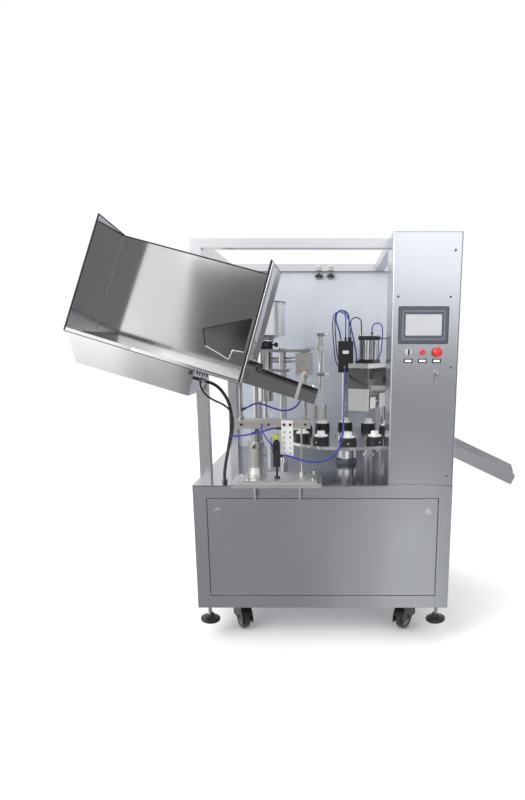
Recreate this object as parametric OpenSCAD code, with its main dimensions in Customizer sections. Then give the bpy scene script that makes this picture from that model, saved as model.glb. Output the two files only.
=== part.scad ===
// Rotary tube filling and sealing machine.
// Millimetres. X runs to the right seen from the front, Y to the back, Z up.
// The origin lies on the floor under the middle of the base cabinet.

/* [Base cabinet] */
// Width of the base cabinet
base_w = 1170; // [1120:1:1260]
// Depth of the base cabinet
base_d = 990; // [970:1:1080]
// Height of the cabinet's underside above the floor
base_z = 174; // [168:1:200]
// Height of the deck above the floor
deck_z = 767; // [740:1:800]
// Thickness of the deck plate
deck_t = 6; // [4:0.5:10]
// Side of the square corner posts
post_w = 60; // [58:1:70]
// Wall of the square tubes
tube_wall = 3; // [2:0.5:4]
// Height of the top rails
top_rail_h = 54; // [45:1:65]
// Height of the bottom rails
low_rail_h = 60; // [50:1:70]
// Depth of the rails
rail_d = 40; // [34:1:44]
// Thickness of the side and rear panels
panel_t = 2; // [1.5:0.5:3]
// Setback of the side and rear panels from the outer faces
panel_inset = 8; // [4:1:14]
// Thickness of the bottom plate
bottom_t = 6; // [4:0.5:10]

/* [Front door] */
// Depth of the folded door pan
door_depth = 18; // [16:1:22]
// Sheet of the door pans
door_sheet = 2; // [1.5:0.5:3]
// Gap round the front door
door_gap = 3; // [2:0.5:5]
// Diameter of the door pivot pins
pivot_d = 6; // [5:0.5:8]
// Distance of a door lock from the door's side edge
lock_inset = 42; // [34:1:60]
// Distance of a door lock from the door's top edge
lock_drop = 60; // [55:1:80]
// Diameter of the lock heads
lock_head_d = 28; // [24:1:34]
// Diameter of the lock spindles
lock_spindle_d = 12; // [8:0.5:16]
// Length of the lock tongues
tongue_l = 44; // [40:1:50]

/* [Guard and control column] */
// Height of the guard and column tops above the floor
guard_top = 1845; // [1800:1:1950]
// Side of the guard posts
guard_post = 50; // [40:1:56]
// Height of the guard rails
guard_rail_h = 40; // [30:1:50]
// Thickness of the back panel
back_t = 4; // [3:0.5:8]
// Width of the control column
col_w = 290; // [270:1:300]
// Depth of the control column
col_d = 207; // [195:1:209]
// Sheet of the control column
col_sheet = 3; // [2:0.5:4]
// Depth of the column door pan
col_door_d = 15; // [13:1:18]
// Gap between column door and column shell
seal_gap = 2; // [1.5:0.5:3]
// Radius of the column door's folded edges
fold_r = 8; // [5:1:12]

/* [Operator panel] */
// Width of the touch panel bezel
hmi_w = 214; // [190:1:230]
// Height of the touch panel bezel
hmi_h = 156; // [140:1:165]
// Height of the touch panel's middle above the floor
hmi_z = 1468; // [1455:1:1500]
// How far the touch panel bezel stands proud
hmi_proud = 8; // [5:0.5:12]
// Height of the row of switches above the floor
switch_z = 1356; // [1340:1:1365]
// Distance between neighbouring switches
switch_pitch = 61; // [50:1:70]
// Diameter of the switch spindles
switch_d = 22; // [18:0.5:24]
// Diameter of the emergency stop head
stop_head_d = 40; // [34:1:48]
// Travel of the push buttons
button_travel = 4; // [2:0.5:5]
// Height of the cabinet key lock above the floor
key_z = 1269; // [1240:1:1290]

/* [Turntable] */
// Distance of the table's axis right of the base's middle
table_x = 121; // [115:1:125]
// Radius of the rotary table
table_r = 326; // [315:1:330]
// Height of the table's top above the floor
table_top = 908; // [890:1:915]
// Thickness of the table
table_t = 14; // [10:1:20]
// Radius of the circle of tube holders
holder_ring = 263; // [256:1:268]
// Number of tube holders
holder_n = 12; // [10:1:14]
// Diameter of a tube holder
holder_d = 84; // [76:1:92]
// Height of a tube holder
holder_h = 39; // [34:1:44]
// Bore of a tube insert
socket_d = 28; // [22:0.5:30]
// Diameter of the table shaft
shaft_d = 60; // [50:1:70]

/* [Loader] */
// Distance of the loader's lower plate from the base's left side
loader_inset = 181; // [175:1:190]
// Length of the loader's lower plate
loader_l = 400; // [390:1:410]
// Thickness of the lower plate
lower_plate_t = 20; // [14:1:24]
// Thickness of the upper plate
upper_plate_t = 13; // [10:1:16]
// How far the plates overhang the base's front
overhang = 52; // [44:1:60]
// Diameter of the loader column
loader_col_d = 66; // [60:1:74]
// Height of the loader column's top above the floor
loader_col_top = 955; // [940:1:975]
// Diameter of the lift rod
lift_d = 48; // [40:1:52]
// Height of the loader beam's underside above the floor
beam_z = 1020; // [1012:1:1030]
// Height of the loader beam
beam_h = 38; // [30:1:44]
// Travel of the loader lift
lift_travel = 60; // [40:1:70]

/* [Magazine] */
// Slope of the magazine floor in degrees
mag_tilt = 17; // [15:0.5:18]
// Length of the magazine floor
mag_l = 724; // [690:1:760]
// Height of the magazine's back wall at its right end
mag_h = 467; // [430:1:490]
// Depth of the magazine
mag_d = 290; // [270:1:300]
// How much taller the right end plate is
end_rise = 29; // [15:1:40]
// Inward lean of the left wall over its height
wall_lean = 38; // [20:1:50]
// Sheet of the magazine
mag_sheet = 2; // [1.5:0.5:3]
// Height of the throat under the end plate
throat_h = 62; // [56:1:72]
// Height of the casing under the magazine floor
casing_h = 109; // [95:1:120]
// Length of the feed trough
trough_l = 318; // [305:1:325]
// Inner width of the feed trough
trough_w = 180; // [170:1:190]
// Height of the feed trough's walls at the far end
trough_h = 46; // [42:1:52]

/* [Stations] */
// Diameter of the press cylinder
press_d = 32; // [28:1:38]
// Diameter of the press rod
press_rod_d = 16; // [12:0.5:18]
// Travel of the press rod
press_travel = 100; // [80:1:110]
// Outer radius of the product hopper
hopper_r = 115; // [105:1:122]
// Height of the product hopper
hopper_h = 193; // [170:1:220]
// Wall of the product hopper
hopper_wall = 2; // [1.5:0.5:4]
// Bore of the dosing barrel
dose_d = 60; // [50:1:64]
// Travel of the dosing piston
dose_travel = 100; // [80:1:110]
// Side of the heater body
heater_w = 84; // [76:1:92]
// Height of the heater body
heater_h = 173; // [160:1:185]
// Travel of the heater nozzle
heater_travel = 60; // [40:1:64]
// Opening between the sealing jaws
jaw_gap = 50; // [40:1:56]
// Slope of the discharge chute in degrees
chute_tilt = 25.5; // [24:0.5:27]
// Length of the discharge chute
chute_l = 578; // [540:1:610]
// Width of the discharge chute
chute_w = 180; // [160:1:200]

/* [Casters and feet] */
// Diameter of the caster wheels
wheel_d = 125; // [115:1:128]
// Width of the caster wheels
wheel_w = 36; // [30:1:38]
// Distance of the casters from the base's sides
caster_side = 202; // [195:1:215]
// Distance of the casters from the base's front and rear faces
caster_inset = 110; // [106:1:125]
// Trail of the swivelling casters
trail = 36; // [28:1:40]
// Distance of the feet from the base's outer faces
foot_inset = 44; // [40:1:46]
// Diameter of the foot pads
pad_d = 92; // [80:1:96]
// Diameter of the foot stems
stem_d = 18; // [14:1:20]
// Height of the foot pads above the floor
foot_clear = 86; // [70:1:92]

/* [Hidden] */
$fn = 64;
running = 0.05;
play = 0.3;

half_w = base_w / 2;
half_d = base_d / 2;
front_y = -half_d;
deck_low = deck_z - deck_t;
rail_top_z = deck_low - top_rail_h;
rail_low_z = base_z + low_rail_h;

// Door opening and door pivot
door_x = half_w - post_w - door_gap;
door_z0 = rail_low_z + door_gap;
door_z1 = rail_top_z - door_gap;
pivot_y = front_y + pivot_d / 2 + door_sheet;
pivot_z = door_z0 + pivot_d / 2 + door_sheet;
pivot_l = 14;
pivot_boss = pivot_d / 2 + door_sheet;
lock_x = door_x - lock_inset;
lock_z = door_z1 - lock_drop;
keeper_t = 3;
keeper_w = 40;
tongue_y = front_y + door_depth + keeper_t + 2 * play;
tongue_t = 4;
tongue_w = 16;
lock_proud = 6;

// Control column
col_x = half_w - col_w;
col_rear = front_y + col_d;
col_mid = half_w - col_w / 2;
shell_y = front_y + col_door_d + seal_gap;
col_hinge_x = col_x + 5;
col_hinge_y = front_y + 5;
col_hinge_d = 5;
col_hinge_l = 12;
col_door_z0 = deck_z + col_sheet + 1;
col_door_z1 = guard_top - col_sheet - 1;
collar_d = switch_d + 10;
collar_t = 3;
selector_x = col_mid - switch_pitch - 10;
start_x = selector_x + switch_pitch;
stop_x = start_x + switch_pitch;
key_d = 18;
spindle_back = 30;
edge_screw_pitch = (guard_top - deck_z - 120) / 2;

// Guard
guard_y = col_rear - guard_post;
guard_low = guard_top - guard_rail_h;

// Turntable
shaft_low = deck_low - 140;
collar_z = deck_z + 30;
hub_h = 18;
table_low = table_top - table_t;
insert_flange_d = 66;
insert_flange_h = 6;
insert_neck_d = 38;
insert_neck_h = 20;
insert_depth = 15;
insert_top = table_top + holder_h + insert_flange_h + insert_neck_h;
gear_w = 240;
gear_d = 210;
gear_h = 220;
gear_mid = deck_low - 120;
flange_t = 12;
flange_d = 150;
motor_d = 150;
motor_l = 230;

// Loader
loader_x = loader_inset - half_w;
lower_z = deck_z + lower_plate_t;
upper_z = lower_z + upper_plate_t;
upper_in = 54;
plate_y0 = front_y - overhang;
plate_d = 180;
lift_x = loader_x + 101;
lift_y = front_y + 65;
beam_x0 = loader_x + 20;
beam_x1 = loader_x + loader_l - 50;
beam_d = 70;
beam_y0 = lift_y - beam_d / 2;
beam_top = beam_z + beam_h;
lift_low = loader_col_top - 90;
stop_post_x = beam_x1 - 42;
reg_x = loader_x + 200;
reg_y = front_y + 13;

// Magazine, in its own frame: x down the slope, z square to the floor
mag_x = loader_x + 67;
mag_z = 1235;
mag_rear = guard_y - 7;
mag_front = mag_rear - mag_d;
left_h0 = mag_h - 26;
end_t = 2.5;
end_flange = 14;
casing_l0 = mag_l - 74;
casing_l1 = 186;
casing_in = 2;
trough_t = 3;
trough_y0 = mag_front + 75;
trough_y1 = trough_y0 + trough_w;
trough_step = 45;
gate_u = 238;
gate_t = 6;
gate_low = 30;
gate_top = 108;
gate_travel = 25;
strap_w = 14;

// Loading station, over the holder at 120 degrees past the right
load_x = table_x - holder_ring * cos(60);
load_y = -holder_ring * sin(60);
cup_r = 34;
cup_wall = 4;
cup_z0 = 1022;
cup_z1 = 1100;
cup_pivot_y = load_y - 112;
cup_pivot_z = 1190;
cup_pin_d = 12;
cup_arm_t = 8;
cup_arm_w = 22;
cup_arm_x = load_x - cup_r - 5;

// Press cylinder
press_z0 = 1239;
press_z1 = 1441;
press_tip = 1126;

// Product pump
pump_x = -321;
pump_y = holder_ring * sin(30);
pump_low_z = 1245;
pump_top_z = 1347;
pump_t = 16;
pump_left = 64;
pump_right = 140;
pump_half = 92;
valve_h = 47;
valve_d = 92;
hopper_z = pump_top_z + pump_t + valve_h;
barrel_d = dose_d + 26;
barrel_z0 = 1085;
piston_h = 36;
dose_rod_d = 22;
outlet_d = 44;
nozzle_x = table_x - holder_ring * cos(30);
block_w = 90;
block_z1 = pump_top_z - 5;
block_z0 = block_z1 - 118;
leg_d = 28;

// Heater
heater_y = holder_ring;
heater_z = 1233;
heater_rod_d = 20;
heater_nozzle_d = 44;
heater_nozzle_z = insert_top + heater_travel + 6;
heater_post_y = holder_ring + 137;

// Sealing head
seal_turn = 60;
seal_in = 135;
seal_out = 150;
seal_half = 60;
seal_plate = 12;
seal_low = 1030;
seal_top_z = 1257;
seal_top_t = 28;
guide_d = 16;
guide_t = 38;
guide_z = 1072;
jaw_in_l = 70;
jaw_out_l = 80;
jaw_half = 55;
jaw_travel = jaw_gap / 2 - 0.5;
seal_post_r = holder_ring + seal_out + 42;
seal_cyl_w = 92;
seal_cyl_h = 148;

// Chute
chute_x = table_x + table_r + 8;
chute_z = table_top + 14;
chute_y0 = -110;
chute_sheet = 2.5;
chute_near_h = 58;
chute_far_h = 84;
chute_skew = 50;

// Casters and feet
caster_x = half_w - caster_side;
caster_y = half_d - caster_inset;
mount_t = 8;
mount_z = base_z - mount_t;
crown_d = 72;
crown_t = 15;
crown_z = mount_z - play - crown_t;
kingpin_d = 16;
kingpin_head = 26;
kingpin_head_t = 5;
cheek_gap = wheel_w + 8;
cheek_t = 5;
axle_d = 12;
axle_z = wheel_d / 2;
hood_gap = 6;
caster_turn = [28, -34];
plug_t = 12;
pad_tilt = 7;
foot_names = ["front_left", "front_right", "rear_left", "rear_right"];

// Hose and cable routes, hand-chosen points
hose_d = 8;
loop_hose_d = 8;
hose_seat = 0.6;
cable_d = 14;
port_l = 12;
air_hose_pts = [
    [-178, -482, 900], [-150, -482, 899], [-110, -480, 885], [-70, -470, 872], [-30, -455, 866],
    [10, -440, 870], [45, -425, 885], [72, -405, 912], [88, -375, 950], [95, -335, 990],
    [98, -290, 1025], [100, -240, 1055], [102, -180, 1085], [105, -110, 1115], [108, -40, 1145],
    [111, 30, 1172], [113, 95, 1200], [114, 140, 1231], [115, 170, 1251], [115, 192, 1259], [115, 209, 1260]];
heater_hose_pts = [
    [92, 263, 1418], [91, 263, 1433], [87, 263, 1453], [80, 262, 1475], [72, 261, 1498],
    [67, 260, 1520], [67, 258, 1541], [74, 255, 1560], [88, 251, 1571], [104, 246, 1571],
    [119, 240, 1558], [131, 233, 1536], [141, 225, 1508], [149, 217, 1477], [157, 209, 1445],
    [164, 201, 1412], [171, 194, 1378], [176, 188, 1346], [179, 183.5, 1320], [180, 182, 1301]];
cable_pts = [
    [-518.8, -420, 1225.8], [-493, -420, 1217.9], [-466, -421, 1201], [-440, -423, 1170], [-422, -425, 1135],
    [-412, -427, 1095], [-410, -428, 1050], [-415, -429, 1000], [-424, -429, 950], [-434, -428, 900],
    [-443, -426, 860], [-449, -425, 825], [-452, -424, 803], [-452, -424, 783]];

// Box given by its lowest and highest corners
module block(lo, hi) {
    translate(lo) cube(hi - lo);
}

// Box tube along x, y or z, given by its corners, open at its ends
module box_tube(lo, hi, along) {
    w = tube_wall;
    inset = [for (i = [0 : 2]) i == along ? -1 : w];
    difference() {
        block(lo, hi);
        block(lo + inset, hi - inset);
    }
}

// Rounded rectangle standing in the XZ plane, from y0 to y1
module plaque(x, z, w, h, r, y0, y1) {
    translate([x, y1, z]) rotate([90, 0, 0]) linear_extrude(y1 - y0) {
        square([w - 2 * r, h], center = true);
        square([w, h - 2 * r], center = true);
        for (sx = [-1, 1], sz = [-1, 1])
            translate([sx * (w / 2 - r), sz * (h / 2 - r)]) circle(r);
    }
}

// Round bar along y, from y0 to y1
module bar_y(x, z, d, y0, y1) {
    translate([x, y0, z]) rotate([-90, 0, 0]) cylinder(d = d, h = y1 - y0);
}

// Round bar along x, from x0 to x1
module bar_x(y, z, d, x0, x1) {
    translate([x0, y, z]) rotate([0, 90, 0]) cylinder(d = d, h = x1 - x0);
}

// Round bar along z, from z0 to z1
module bar_z(x, y, d, z0, z1) {
    translate([x, y, z0]) cylinder(d = d, h = z1 - z0);
}

// Outline drawn in x and z, carried from y0 to y1
module slab_y(points, y0, y1) {
    translate([0, y1, 0]) rotate([90, 0, 0]) linear_extrude(y1 - y0) polygon(points);
}

// Outline drawn in y and z, carried from x0 to x1
module slab_x(points, x0, x1) {
    translate([x0, 0, 0]) rotate([90, 0, 90]) linear_extrude(x1 - x0) polygon(points);
}

// The magazine's tilted frame
module on_slope() {
    translate([mag_x, 0, mag_z]) rotate([0, mag_tilt, 0]) children();
}

// Everything above the underside of the magazine floor and trough
module above_slope(depth) {
    on_slope() block([-2000, -2000, -depth], [2000, 2000, 2000]);
}

// The sealing station's frame: x outward from the table's axis
module at_seal() {
    translate([table_x, 0, 0]) rotate([0, 0, seal_turn]) children();
}

// Corners of the base: side -1 or 1 in x, end -1 or 1 in y
module base_posts() {
    color("silver") {
        for (sx = [-1, 1], sy = [-1, 1]) {
            lo = [sx < 0 ? -half_w : half_w - post_w, sy < 0 ? -half_d : half_d - post_w, base_z];
            hi = lo + [post_w, post_w, deck_low - base_z];
            difference() {
                block(lo, hi);
                block(lo + [tube_wall, tube_wall, plug_t],
                      hi - [tube_wall, tube_wall, -1]);
                bar_z(sx * (half_w - foot_inset), sy * (half_d - foot_inset), stem_d + 2 * running,
                      base_z - 1, base_z + plug_t + 1);
            }
        }
        for (sx = [-1, 1]) {
            side = sx * (half_w - post_w);
            bar_x(pivot_y, pivot_z, pivot_d, min(side, side - sx * pivot_l), max(side, side - sx * pivot_l));
        }
    }
}

module base_rails() {
    inner_x = half_w - post_w;
    inner_y = half_d - post_w;
    color("silver") {
        for (level = [[base_z, rail_low_z], [rail_top_z, deck_low]]) {
            for (sy = [-1, 1]) {
                y0 = sy < 0 ? -half_d : half_d - rail_d;
                box_tube([-inner_x, y0, level[0]], [inner_x, y0 + rail_d, level[1]], 0);
            }
            for (sx = [-1, 1]) {
                x0 = sx < 0 ? -half_w : half_w - rail_d;
                box_tube([x0, -inner_y, level[0]], [x0 + rail_d, inner_y, level[1]], 1);
            }
        }
        keeper_y = front_y + door_depth + play;
        for (sx = [-1, 1])
            block([sx * lock_x - keeper_w / 2, keeper_y, lock_z + lock_spindle_d + 14],
                  [sx * lock_x + keeper_w / 2, keeper_y + keeper_t, rail_top_z - play]);
    }
}

// Side and rear sheets between the posts and rails, with slots to let the motor's heat out
module cabinet_panels() {
    slot_l = 150;
    slot_h = 7;
    slot_n = 6;
    slot_pitch = 22;
    color("silver") {
        for (sx = [-1, 1]) {
            x0 = sx < 0 ? panel_inset - half_w : half_w - panel_inset - panel_t;
            difference() {
                block([x0, post_w - half_d, rail_low_z], [x0 + panel_t, half_d - post_w, rail_top_z]);
                for (i = [0 : slot_n - 1])
                    block([x0 - 1, -slot_l / 2, rail_low_z + 60 + i * slot_pitch],
                          [x0 + panel_t + 1, slot_l / 2, rail_low_z + 60 + slot_h + i * slot_pitch]);
            }
        }
        block([post_w - half_w, half_d - panel_inset - panel_t, rail_low_z],
              [half_w - post_w, half_d - panel_inset, rail_top_z]);
    }
}

module bottom_plate() {
    color("gray") {
        difference() {
            block([rail_d - half_w, rail_d - half_d, base_z], [half_w - rail_d, half_d - rail_d, base_z + bottom_t]);
            for (sx = [-1, 1], sy = [-1, 1])
                translate([sx * half_w, sy * half_d, base_z]) cube(2 * post_w, center = true);
        }
        for (sx = [-1, 1], sy = [-1, 1])
            plate_under(sx * caster_x, sy * caster_y);
        for (sx = [-1, 1]) {
            bar_z(sx * caster_x, -caster_y, kingpin_d, crown_z - play, mount_z);
            bar_z(sx * caster_x, -caster_y, kingpin_head, crown_z - play - kingpin_head_t, crown_z - play);
        }
    }
}

// Square plate that a caster is bolted to
module plate_under(x, y) {
    half = 50;
    block([x - half, y - half, mount_z], [x + half, y + half, base_z]);
}

module deck_plate() {
    gland = cable_pts[len(cable_pts) - 1];
    color("silver") {
        difference() {
            block([-half_w, -half_d, deck_low], [half_w, half_d, deck_z]);
            bar_z(table_x, 0, shaft_d + 60, deck_low - 1, deck_z + 1);
        }
        bar_z(gland[0], gland[1], cable_d + 12, deck_z, gland[2] - hose_seat);
    }
}

module guard_posts() {
    color("lightgray") {
        box_tube([-half_w, guard_y, deck_z], [guard_post - half_w, col_rear, guard_top], 2);
        for (x0 = [-half_w, half_w - guard_post])
            box_tube([x0, half_d - guard_post, deck_z], [x0 + guard_post, half_d, guard_top], 2);
    }
}

module guard_rails() {
    rear_y = half_d - guard_post;
    color("lightgray") {
        box_tube([guard_post - half_w, guard_y, guard_low], [col_x, col_rear, guard_top], 0);
        box_tube([guard_post - half_w, rear_y, guard_low], [half_w - guard_post, half_d, guard_top], 0);
        box_tube([-half_w, col_rear, guard_low], [guard_post - half_w, rear_y, guard_top], 1);
        box_tube([col_x, col_rear, guard_low], [col_x + guard_post, rear_y, guard_top], 1);
    }
}

// Rear sheet of the guard, with its two wing clamps hung under the rail
module back_panel() {
    panel_y = half_d - guard_post / 2;
    clamp_y = panel_y - back_t / 2 - play;
    clamp_h = 44;
    clamp_z = guard_low - clamp_h / 2;
    color("whitesmoke")
        block([guard_post - half_w, panel_y - back_t / 2, deck_z],
              [half_w - guard_post, panel_y + back_t / 2, guard_low]);
    color("dimgray")
        for (x = [table_x - 152, table_x - 84]) {
            plaque(x, clamp_z, 34, clamp_h, 5, clamp_y - 8, clamp_y);
            bar_y(x, clamp_z, 24, clamp_y - 16, clamp_y - 7);
            plaque(x, clamp_z - 6, 46, 13, 6, clamp_y - 25, clamp_y - 14);
        }
}

// Column shell: sides, rear, top and bottom, with the hinge pins of its door
module control_column() {
    s = col_sheet;
    color("silver") {
        difference() {
            block([col_x, shell_y, deck_z], [half_w, col_rear, guard_top]);
            block([col_x + s, shell_y - 1, deck_z + s], [half_w - s, col_rear - s, guard_top - s]);
        }
        for (z = [deck_z, guard_top - s])
            plan_lip(z);
        bar_z(col_hinge_x, col_hinge_y, col_hinge_d, deck_z, col_door_z0 + col_hinge_l);
        bar_z(col_hinge_x, col_hinge_y, col_hinge_d, col_door_z1 - col_hinge_l, guard_top);
    }
}

// Front lip of the column's top or bottom sheet, with the door's rounded corners
module plan_lip(z) {
    translate([0, 0, z]) linear_extrude(col_sheet) column_plan(0, shell_y);
}

// Plan outline of the column's front, set in by a margin, back to the line y1
module column_plan(margin, y1) {
    x0 = col_x + margin;
    x1 = half_w - margin;
    y0 = front_y + margin;
    r = max(fold_r - margin, 0.5);
    translate([x0 + r, y0]) square([x1 - x0 - 2 * r, y1 - y0]);
    translate([x0, y0 + r]) square([x1 - x0, y1 - y0 - r]);
    for (x = [x0 + r, x1 - r])
        translate([x, y0 + r]) circle(r);
}

// Mounting plate in the column with rails, breakers, a controller and contactors
module electrics_plate() {
    back = col_rear - col_sheet;
    plate_t = 3;
    standoff = 15;
    y1 = back - standoff;
    y0 = y1 - plate_t;
    low = deck_z + 130;
    high = guard_top - 130;
    x0 = col_x + 30;
    x1 = half_w - 30;
    breaker_n = 9;
    breaker_w = 17.5;
    color("gainsboro") {
        block([x0, y0, low], [x1, y1, high]);
        for (x = [x0 + 15, x1 - 15], z = [low + 15, high - 15])
            bar_y(x, z, 12, y1, back);
        for (z = [low + 120, low + 330, low + 560])
            block([x0 + 10, y0 - 8, z - 17], [x1 - 10, y0, z + 17]);
        for (i = [0 : breaker_n - 1])
            block([x0 + 20 + i * (breaker_w + 2), y0 - 68, low + 515],
                  [x0 + 20 + breaker_w + i * (breaker_w + 2), y0 - 8, low + 605]);
        block([x0 + 20, y0 - 78, low + 280], [x1 - 60, y0 - 8, low + 380]);
        for (i = [0 : 3])
            block([x0 + 20 + i * 50, y0 - 82, low + 80], [x0 + 64 + i * 50, y0 - 8, low + 160]);
    }
}

// Indexing gearbox under the deck: its boss passes the deck and carries the table shaft
module indexer_gearbox() {
    color("slategray") difference() {
        union() {
            block([table_x - gear_w / 2, -gear_d / 2, deck_low - gear_h],
                  [table_x + gear_w / 2, gear_d / 2, deck_low]);
            bar_z(table_x, 0, shaft_d + 50, deck_low - 1, deck_z + 18);
            bar_x(0, gear_mid, flange_d, table_x - gear_w / 2 - flange_t, table_x - gear_w / 2 + 1);
        }
        bar_z(table_x, 0, shaft_d + 2 * running, shaft_low - play, deck_z + 19);
    }
}

// Finned motor on the gearbox's left flange
module main_motor() {
    x1 = table_x - gear_w / 2 - flange_t;
    x0 = x1 - motor_l;
    fin_n = 24;
    fin_t = 4;
    cover_l = 46;
    color("steelblue") {
        bar_x(0, gear_mid, flange_d, x1 - flange_t, x1);
        bar_x(0, gear_mid, motor_d - 24, x0 + 1, x1 - 1);
        for (i = [0 : fin_n - 1])
            translate([0, 0, gear_mid]) rotate([i * 360 / fin_n, 0, 0])
                block([x0 + cover_l - 1, -fin_t / 2, motor_d / 4], [x1 - flange_t + 1, fin_t / 2, motor_d / 2 - 4]);
        bar_x(0, gear_mid, motor_d + 8, x0, x0 + cover_l);
        block([x0 + 90, -46, gear_mid + motor_d / 3], [x0 + 180, 46, gear_mid + motor_d / 2 + 40]);
    }
}

// Base plates of the loader with their hanging studs and the post that stops the beam
module loader_plates() {
    stud_d = 13;
    stud_l = 57;
    color("silver") {
        block([loader_x, plate_y0, deck_z], [loader_x + loader_l, plate_y0 + plate_d, lower_z]);
        block([loader_x + upper_in, plate_y0 + 4, lower_z],
              [loader_x + loader_l - 20, plate_y0 + plate_d, upper_z]);
        for (x = [loader_x + 105, loader_x + 306]) {
            bar_z(x, front_y - overhang / 2, stud_d, deck_z - stud_l, deck_z);
            bar_z(x, front_y - overhang / 2, stud_d + 8, deck_z - 14, deck_z);
        }
        bar_z(stop_post_x, lift_y, 8, upper_z, beam_z);
        bar_z(stop_post_x, lift_y, 24, upper_z, upper_z + 14);
    }
}

// Flared column with the bore that the lift rod runs in
module loader_column() {
    r = loader_col_d / 2;
    color("silver") translate([lift_x, lift_y, upper_z]) difference() {
        rotate_extrude() polygon([
            [0, 0], [r + 11, 0], [r + 11, 7], [r + 9, 9], [r + 2, 40], [r + 2, 46], [r, 48],
            [r, loader_col_top - upper_z - 26], [r + 5, loader_col_top - upper_z - 24],
            [r + 5, loader_col_top - upper_z], [0, loader_col_top - upper_z]]);
        translate([0, 0, 14]) cylinder(d = lift_d + 2 * running, h = loader_col_top);
    }
}

// Filter regulator on a post: body, bowl, pressure knob and outlet port
module air_regulator() {
    port_x = air_hose_pts[0][0];
    port_z = air_hose_pts[0][2];
    body_w = 30;
    body_z = upper_z + 52;
    body_h = 112;
    color("black") {
        bar_z(reg_x, reg_y, 10, upper_z, body_z + 1);
        bar_z(reg_x, reg_y, 26, upper_z, upper_z + 6);
        block([reg_x - body_w / 2, reg_y - body_w / 2, body_z],
              [reg_x + body_w / 2, reg_y + body_w / 2, body_z + body_h]);
        bar_z(reg_x, reg_y, 18, body_z + body_h - 1, body_z + body_h + 12);
        bar_z(reg_x, reg_y, 26, body_z + body_h + 12, body_z + body_h + 34);
        bar_x(reg_y, port_z, 14, reg_x + body_w / 2 - 1, port_x - hose_seat);
        bar_x(reg_y, body_z + 70, 14, reg_x - body_w / 2 - 14, reg_x - body_w / 2 + 1);
        bar_z(reg_x - body_w / 2 - 16, reg_y, 21, body_z - 10, body_z + body_h + 20);
    }
}

// Pump frame: legs from the deck, two plates and the tongue that carries the nozzle block
module pump_stand() {
    x0 = pump_x - pump_left;
    x1 = pump_x + pump_right;
    y0 = pump_y - pump_half;
    y1 = pump_y + pump_half;
    leg_x = [x0 + 20, x1 - 44];
    leg_y = [y0 + 20, y1 - 20];
    color("silver") difference() {
        union() {
            for (x = leg_x, y = leg_y) {
                bar_z(x, y, leg_d, deck_z, pump_top_z + 1);
                bar_z(x, y, leg_d + 26, deck_z, deck_z + 10);
            }
            block([x0, y0, pump_low_z], [x1, y1, pump_low_z + pump_t]);
            block([x0, y0, pump_top_z], [x1, y1, pump_top_z + pump_t]);
            block([x1 - 1, pump_y - 36, pump_top_z], [nozzle_x + 36, pump_y + 36, pump_top_z + pump_t]);
        }
        bar_z(pump_x, pump_y, barrel_d + 2 * play, pump_low_z - 1, pump_low_z + pump_t + 1);
        bar_z(pump_x, pump_y, outlet_d, pump_top_z - 1, pump_top_z + pump_t + 1);
    }
}

// Open hopper with a rolled rim and a sloping floor
module product_hopper() {
    r = hopper_r;
    w = hopper_wall;
    out = outlet_d / 2;
    color("silver") translate([pump_x, pump_y, hopper_z]) rotate_extrude() polygon([
        [out, 0], [valve_d / 2, 0], [valve_d / 2, 4], [r, 26], [r, hopper_h - 6], [r + 5, hopper_h - 6],
        [r + 5, hopper_h], [r - w, hopper_h], [r - w, 28], [out, 6]]);
}

// Valve body on the pump frame; barrel, outlet pipe, nozzle block and nozzle below it
module dosing_cylinder() {
    pipe_z = pump_top_z - 42;
    pipe_d = 30;
    block_x0 = nozzle_x - block_w / 2;
    color("dimgray") {
        difference() {
            bar_z(pump_x, pump_y, valve_d, pump_top_z + pump_t, hopper_z);
            bar_z(pump_x, pump_y, outlet_d, pump_top_z, hopper_z + 1);
        }
        difference() {
            union() {
                bar_z(pump_x, pump_y, barrel_d, barrel_z0, pump_top_z);
                bar_x(pump_y, pipe_z, pipe_d, pump_x + barrel_d / 2 - 8, block_x0 + 1);
                block([block_x0, pump_y - 34, block_z0], [block_x0 + block_w, pump_y + 34, block_z1]);
                bar_z(nozzle_x, pump_y, 34, block_z0 - 16, block_z0 + 1);
                bar_z(nozzle_x, pump_y, 22, insert_top + 62, block_z0);
                bar_z(nozzle_x, pump_y, 34, block_z1 - 1, pump_top_z);
            }
            bar_z(pump_x, pump_y, dose_d, barrel_z0 - 1, pump_top_z - 18);
            bar_z(pump_x, pump_y, outlet_d, pump_top_z - 19, pump_top_z + 1);
            bar_z(nozzle_x, pump_y, 12, insert_top + 61, block_z0 + 20);
        }
    }
}

// Posts behind the table for heater and sealing head, and the anvil under the sealing station
module station_posts() {
    post_d = 44;
    foot_d = 90;
    arm_z = heater_z + 62;
    color("silver") {
        bar_z(table_x, heater_post_y, post_d, deck_z, arm_z + 60);
        bar_z(table_x, heater_post_y, foot_d, deck_z, deck_z + 12);
        block([table_x - 15, heater_y + heater_w / 2, arm_z], [table_x + 15, heater_post_y, arm_z + 40]);
        at_seal() {
            bar_z(seal_post_r, 0, post_d, deck_z, seal_top_z - 20);
            bar_z(seal_post_r, 0, foot_d, deck_z, deck_z + 12);
            block([holder_ring + seal_out, -18, seal_top_z - 90], [seal_post_r, 18, seal_top_z - 50]);
            bar_z(holder_ring, 0, post_d, deck_z, table_low - play);
            bar_z(holder_ring, 0, foot_d - 20, deck_z, deck_z + 10);
        }
    }
}

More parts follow.
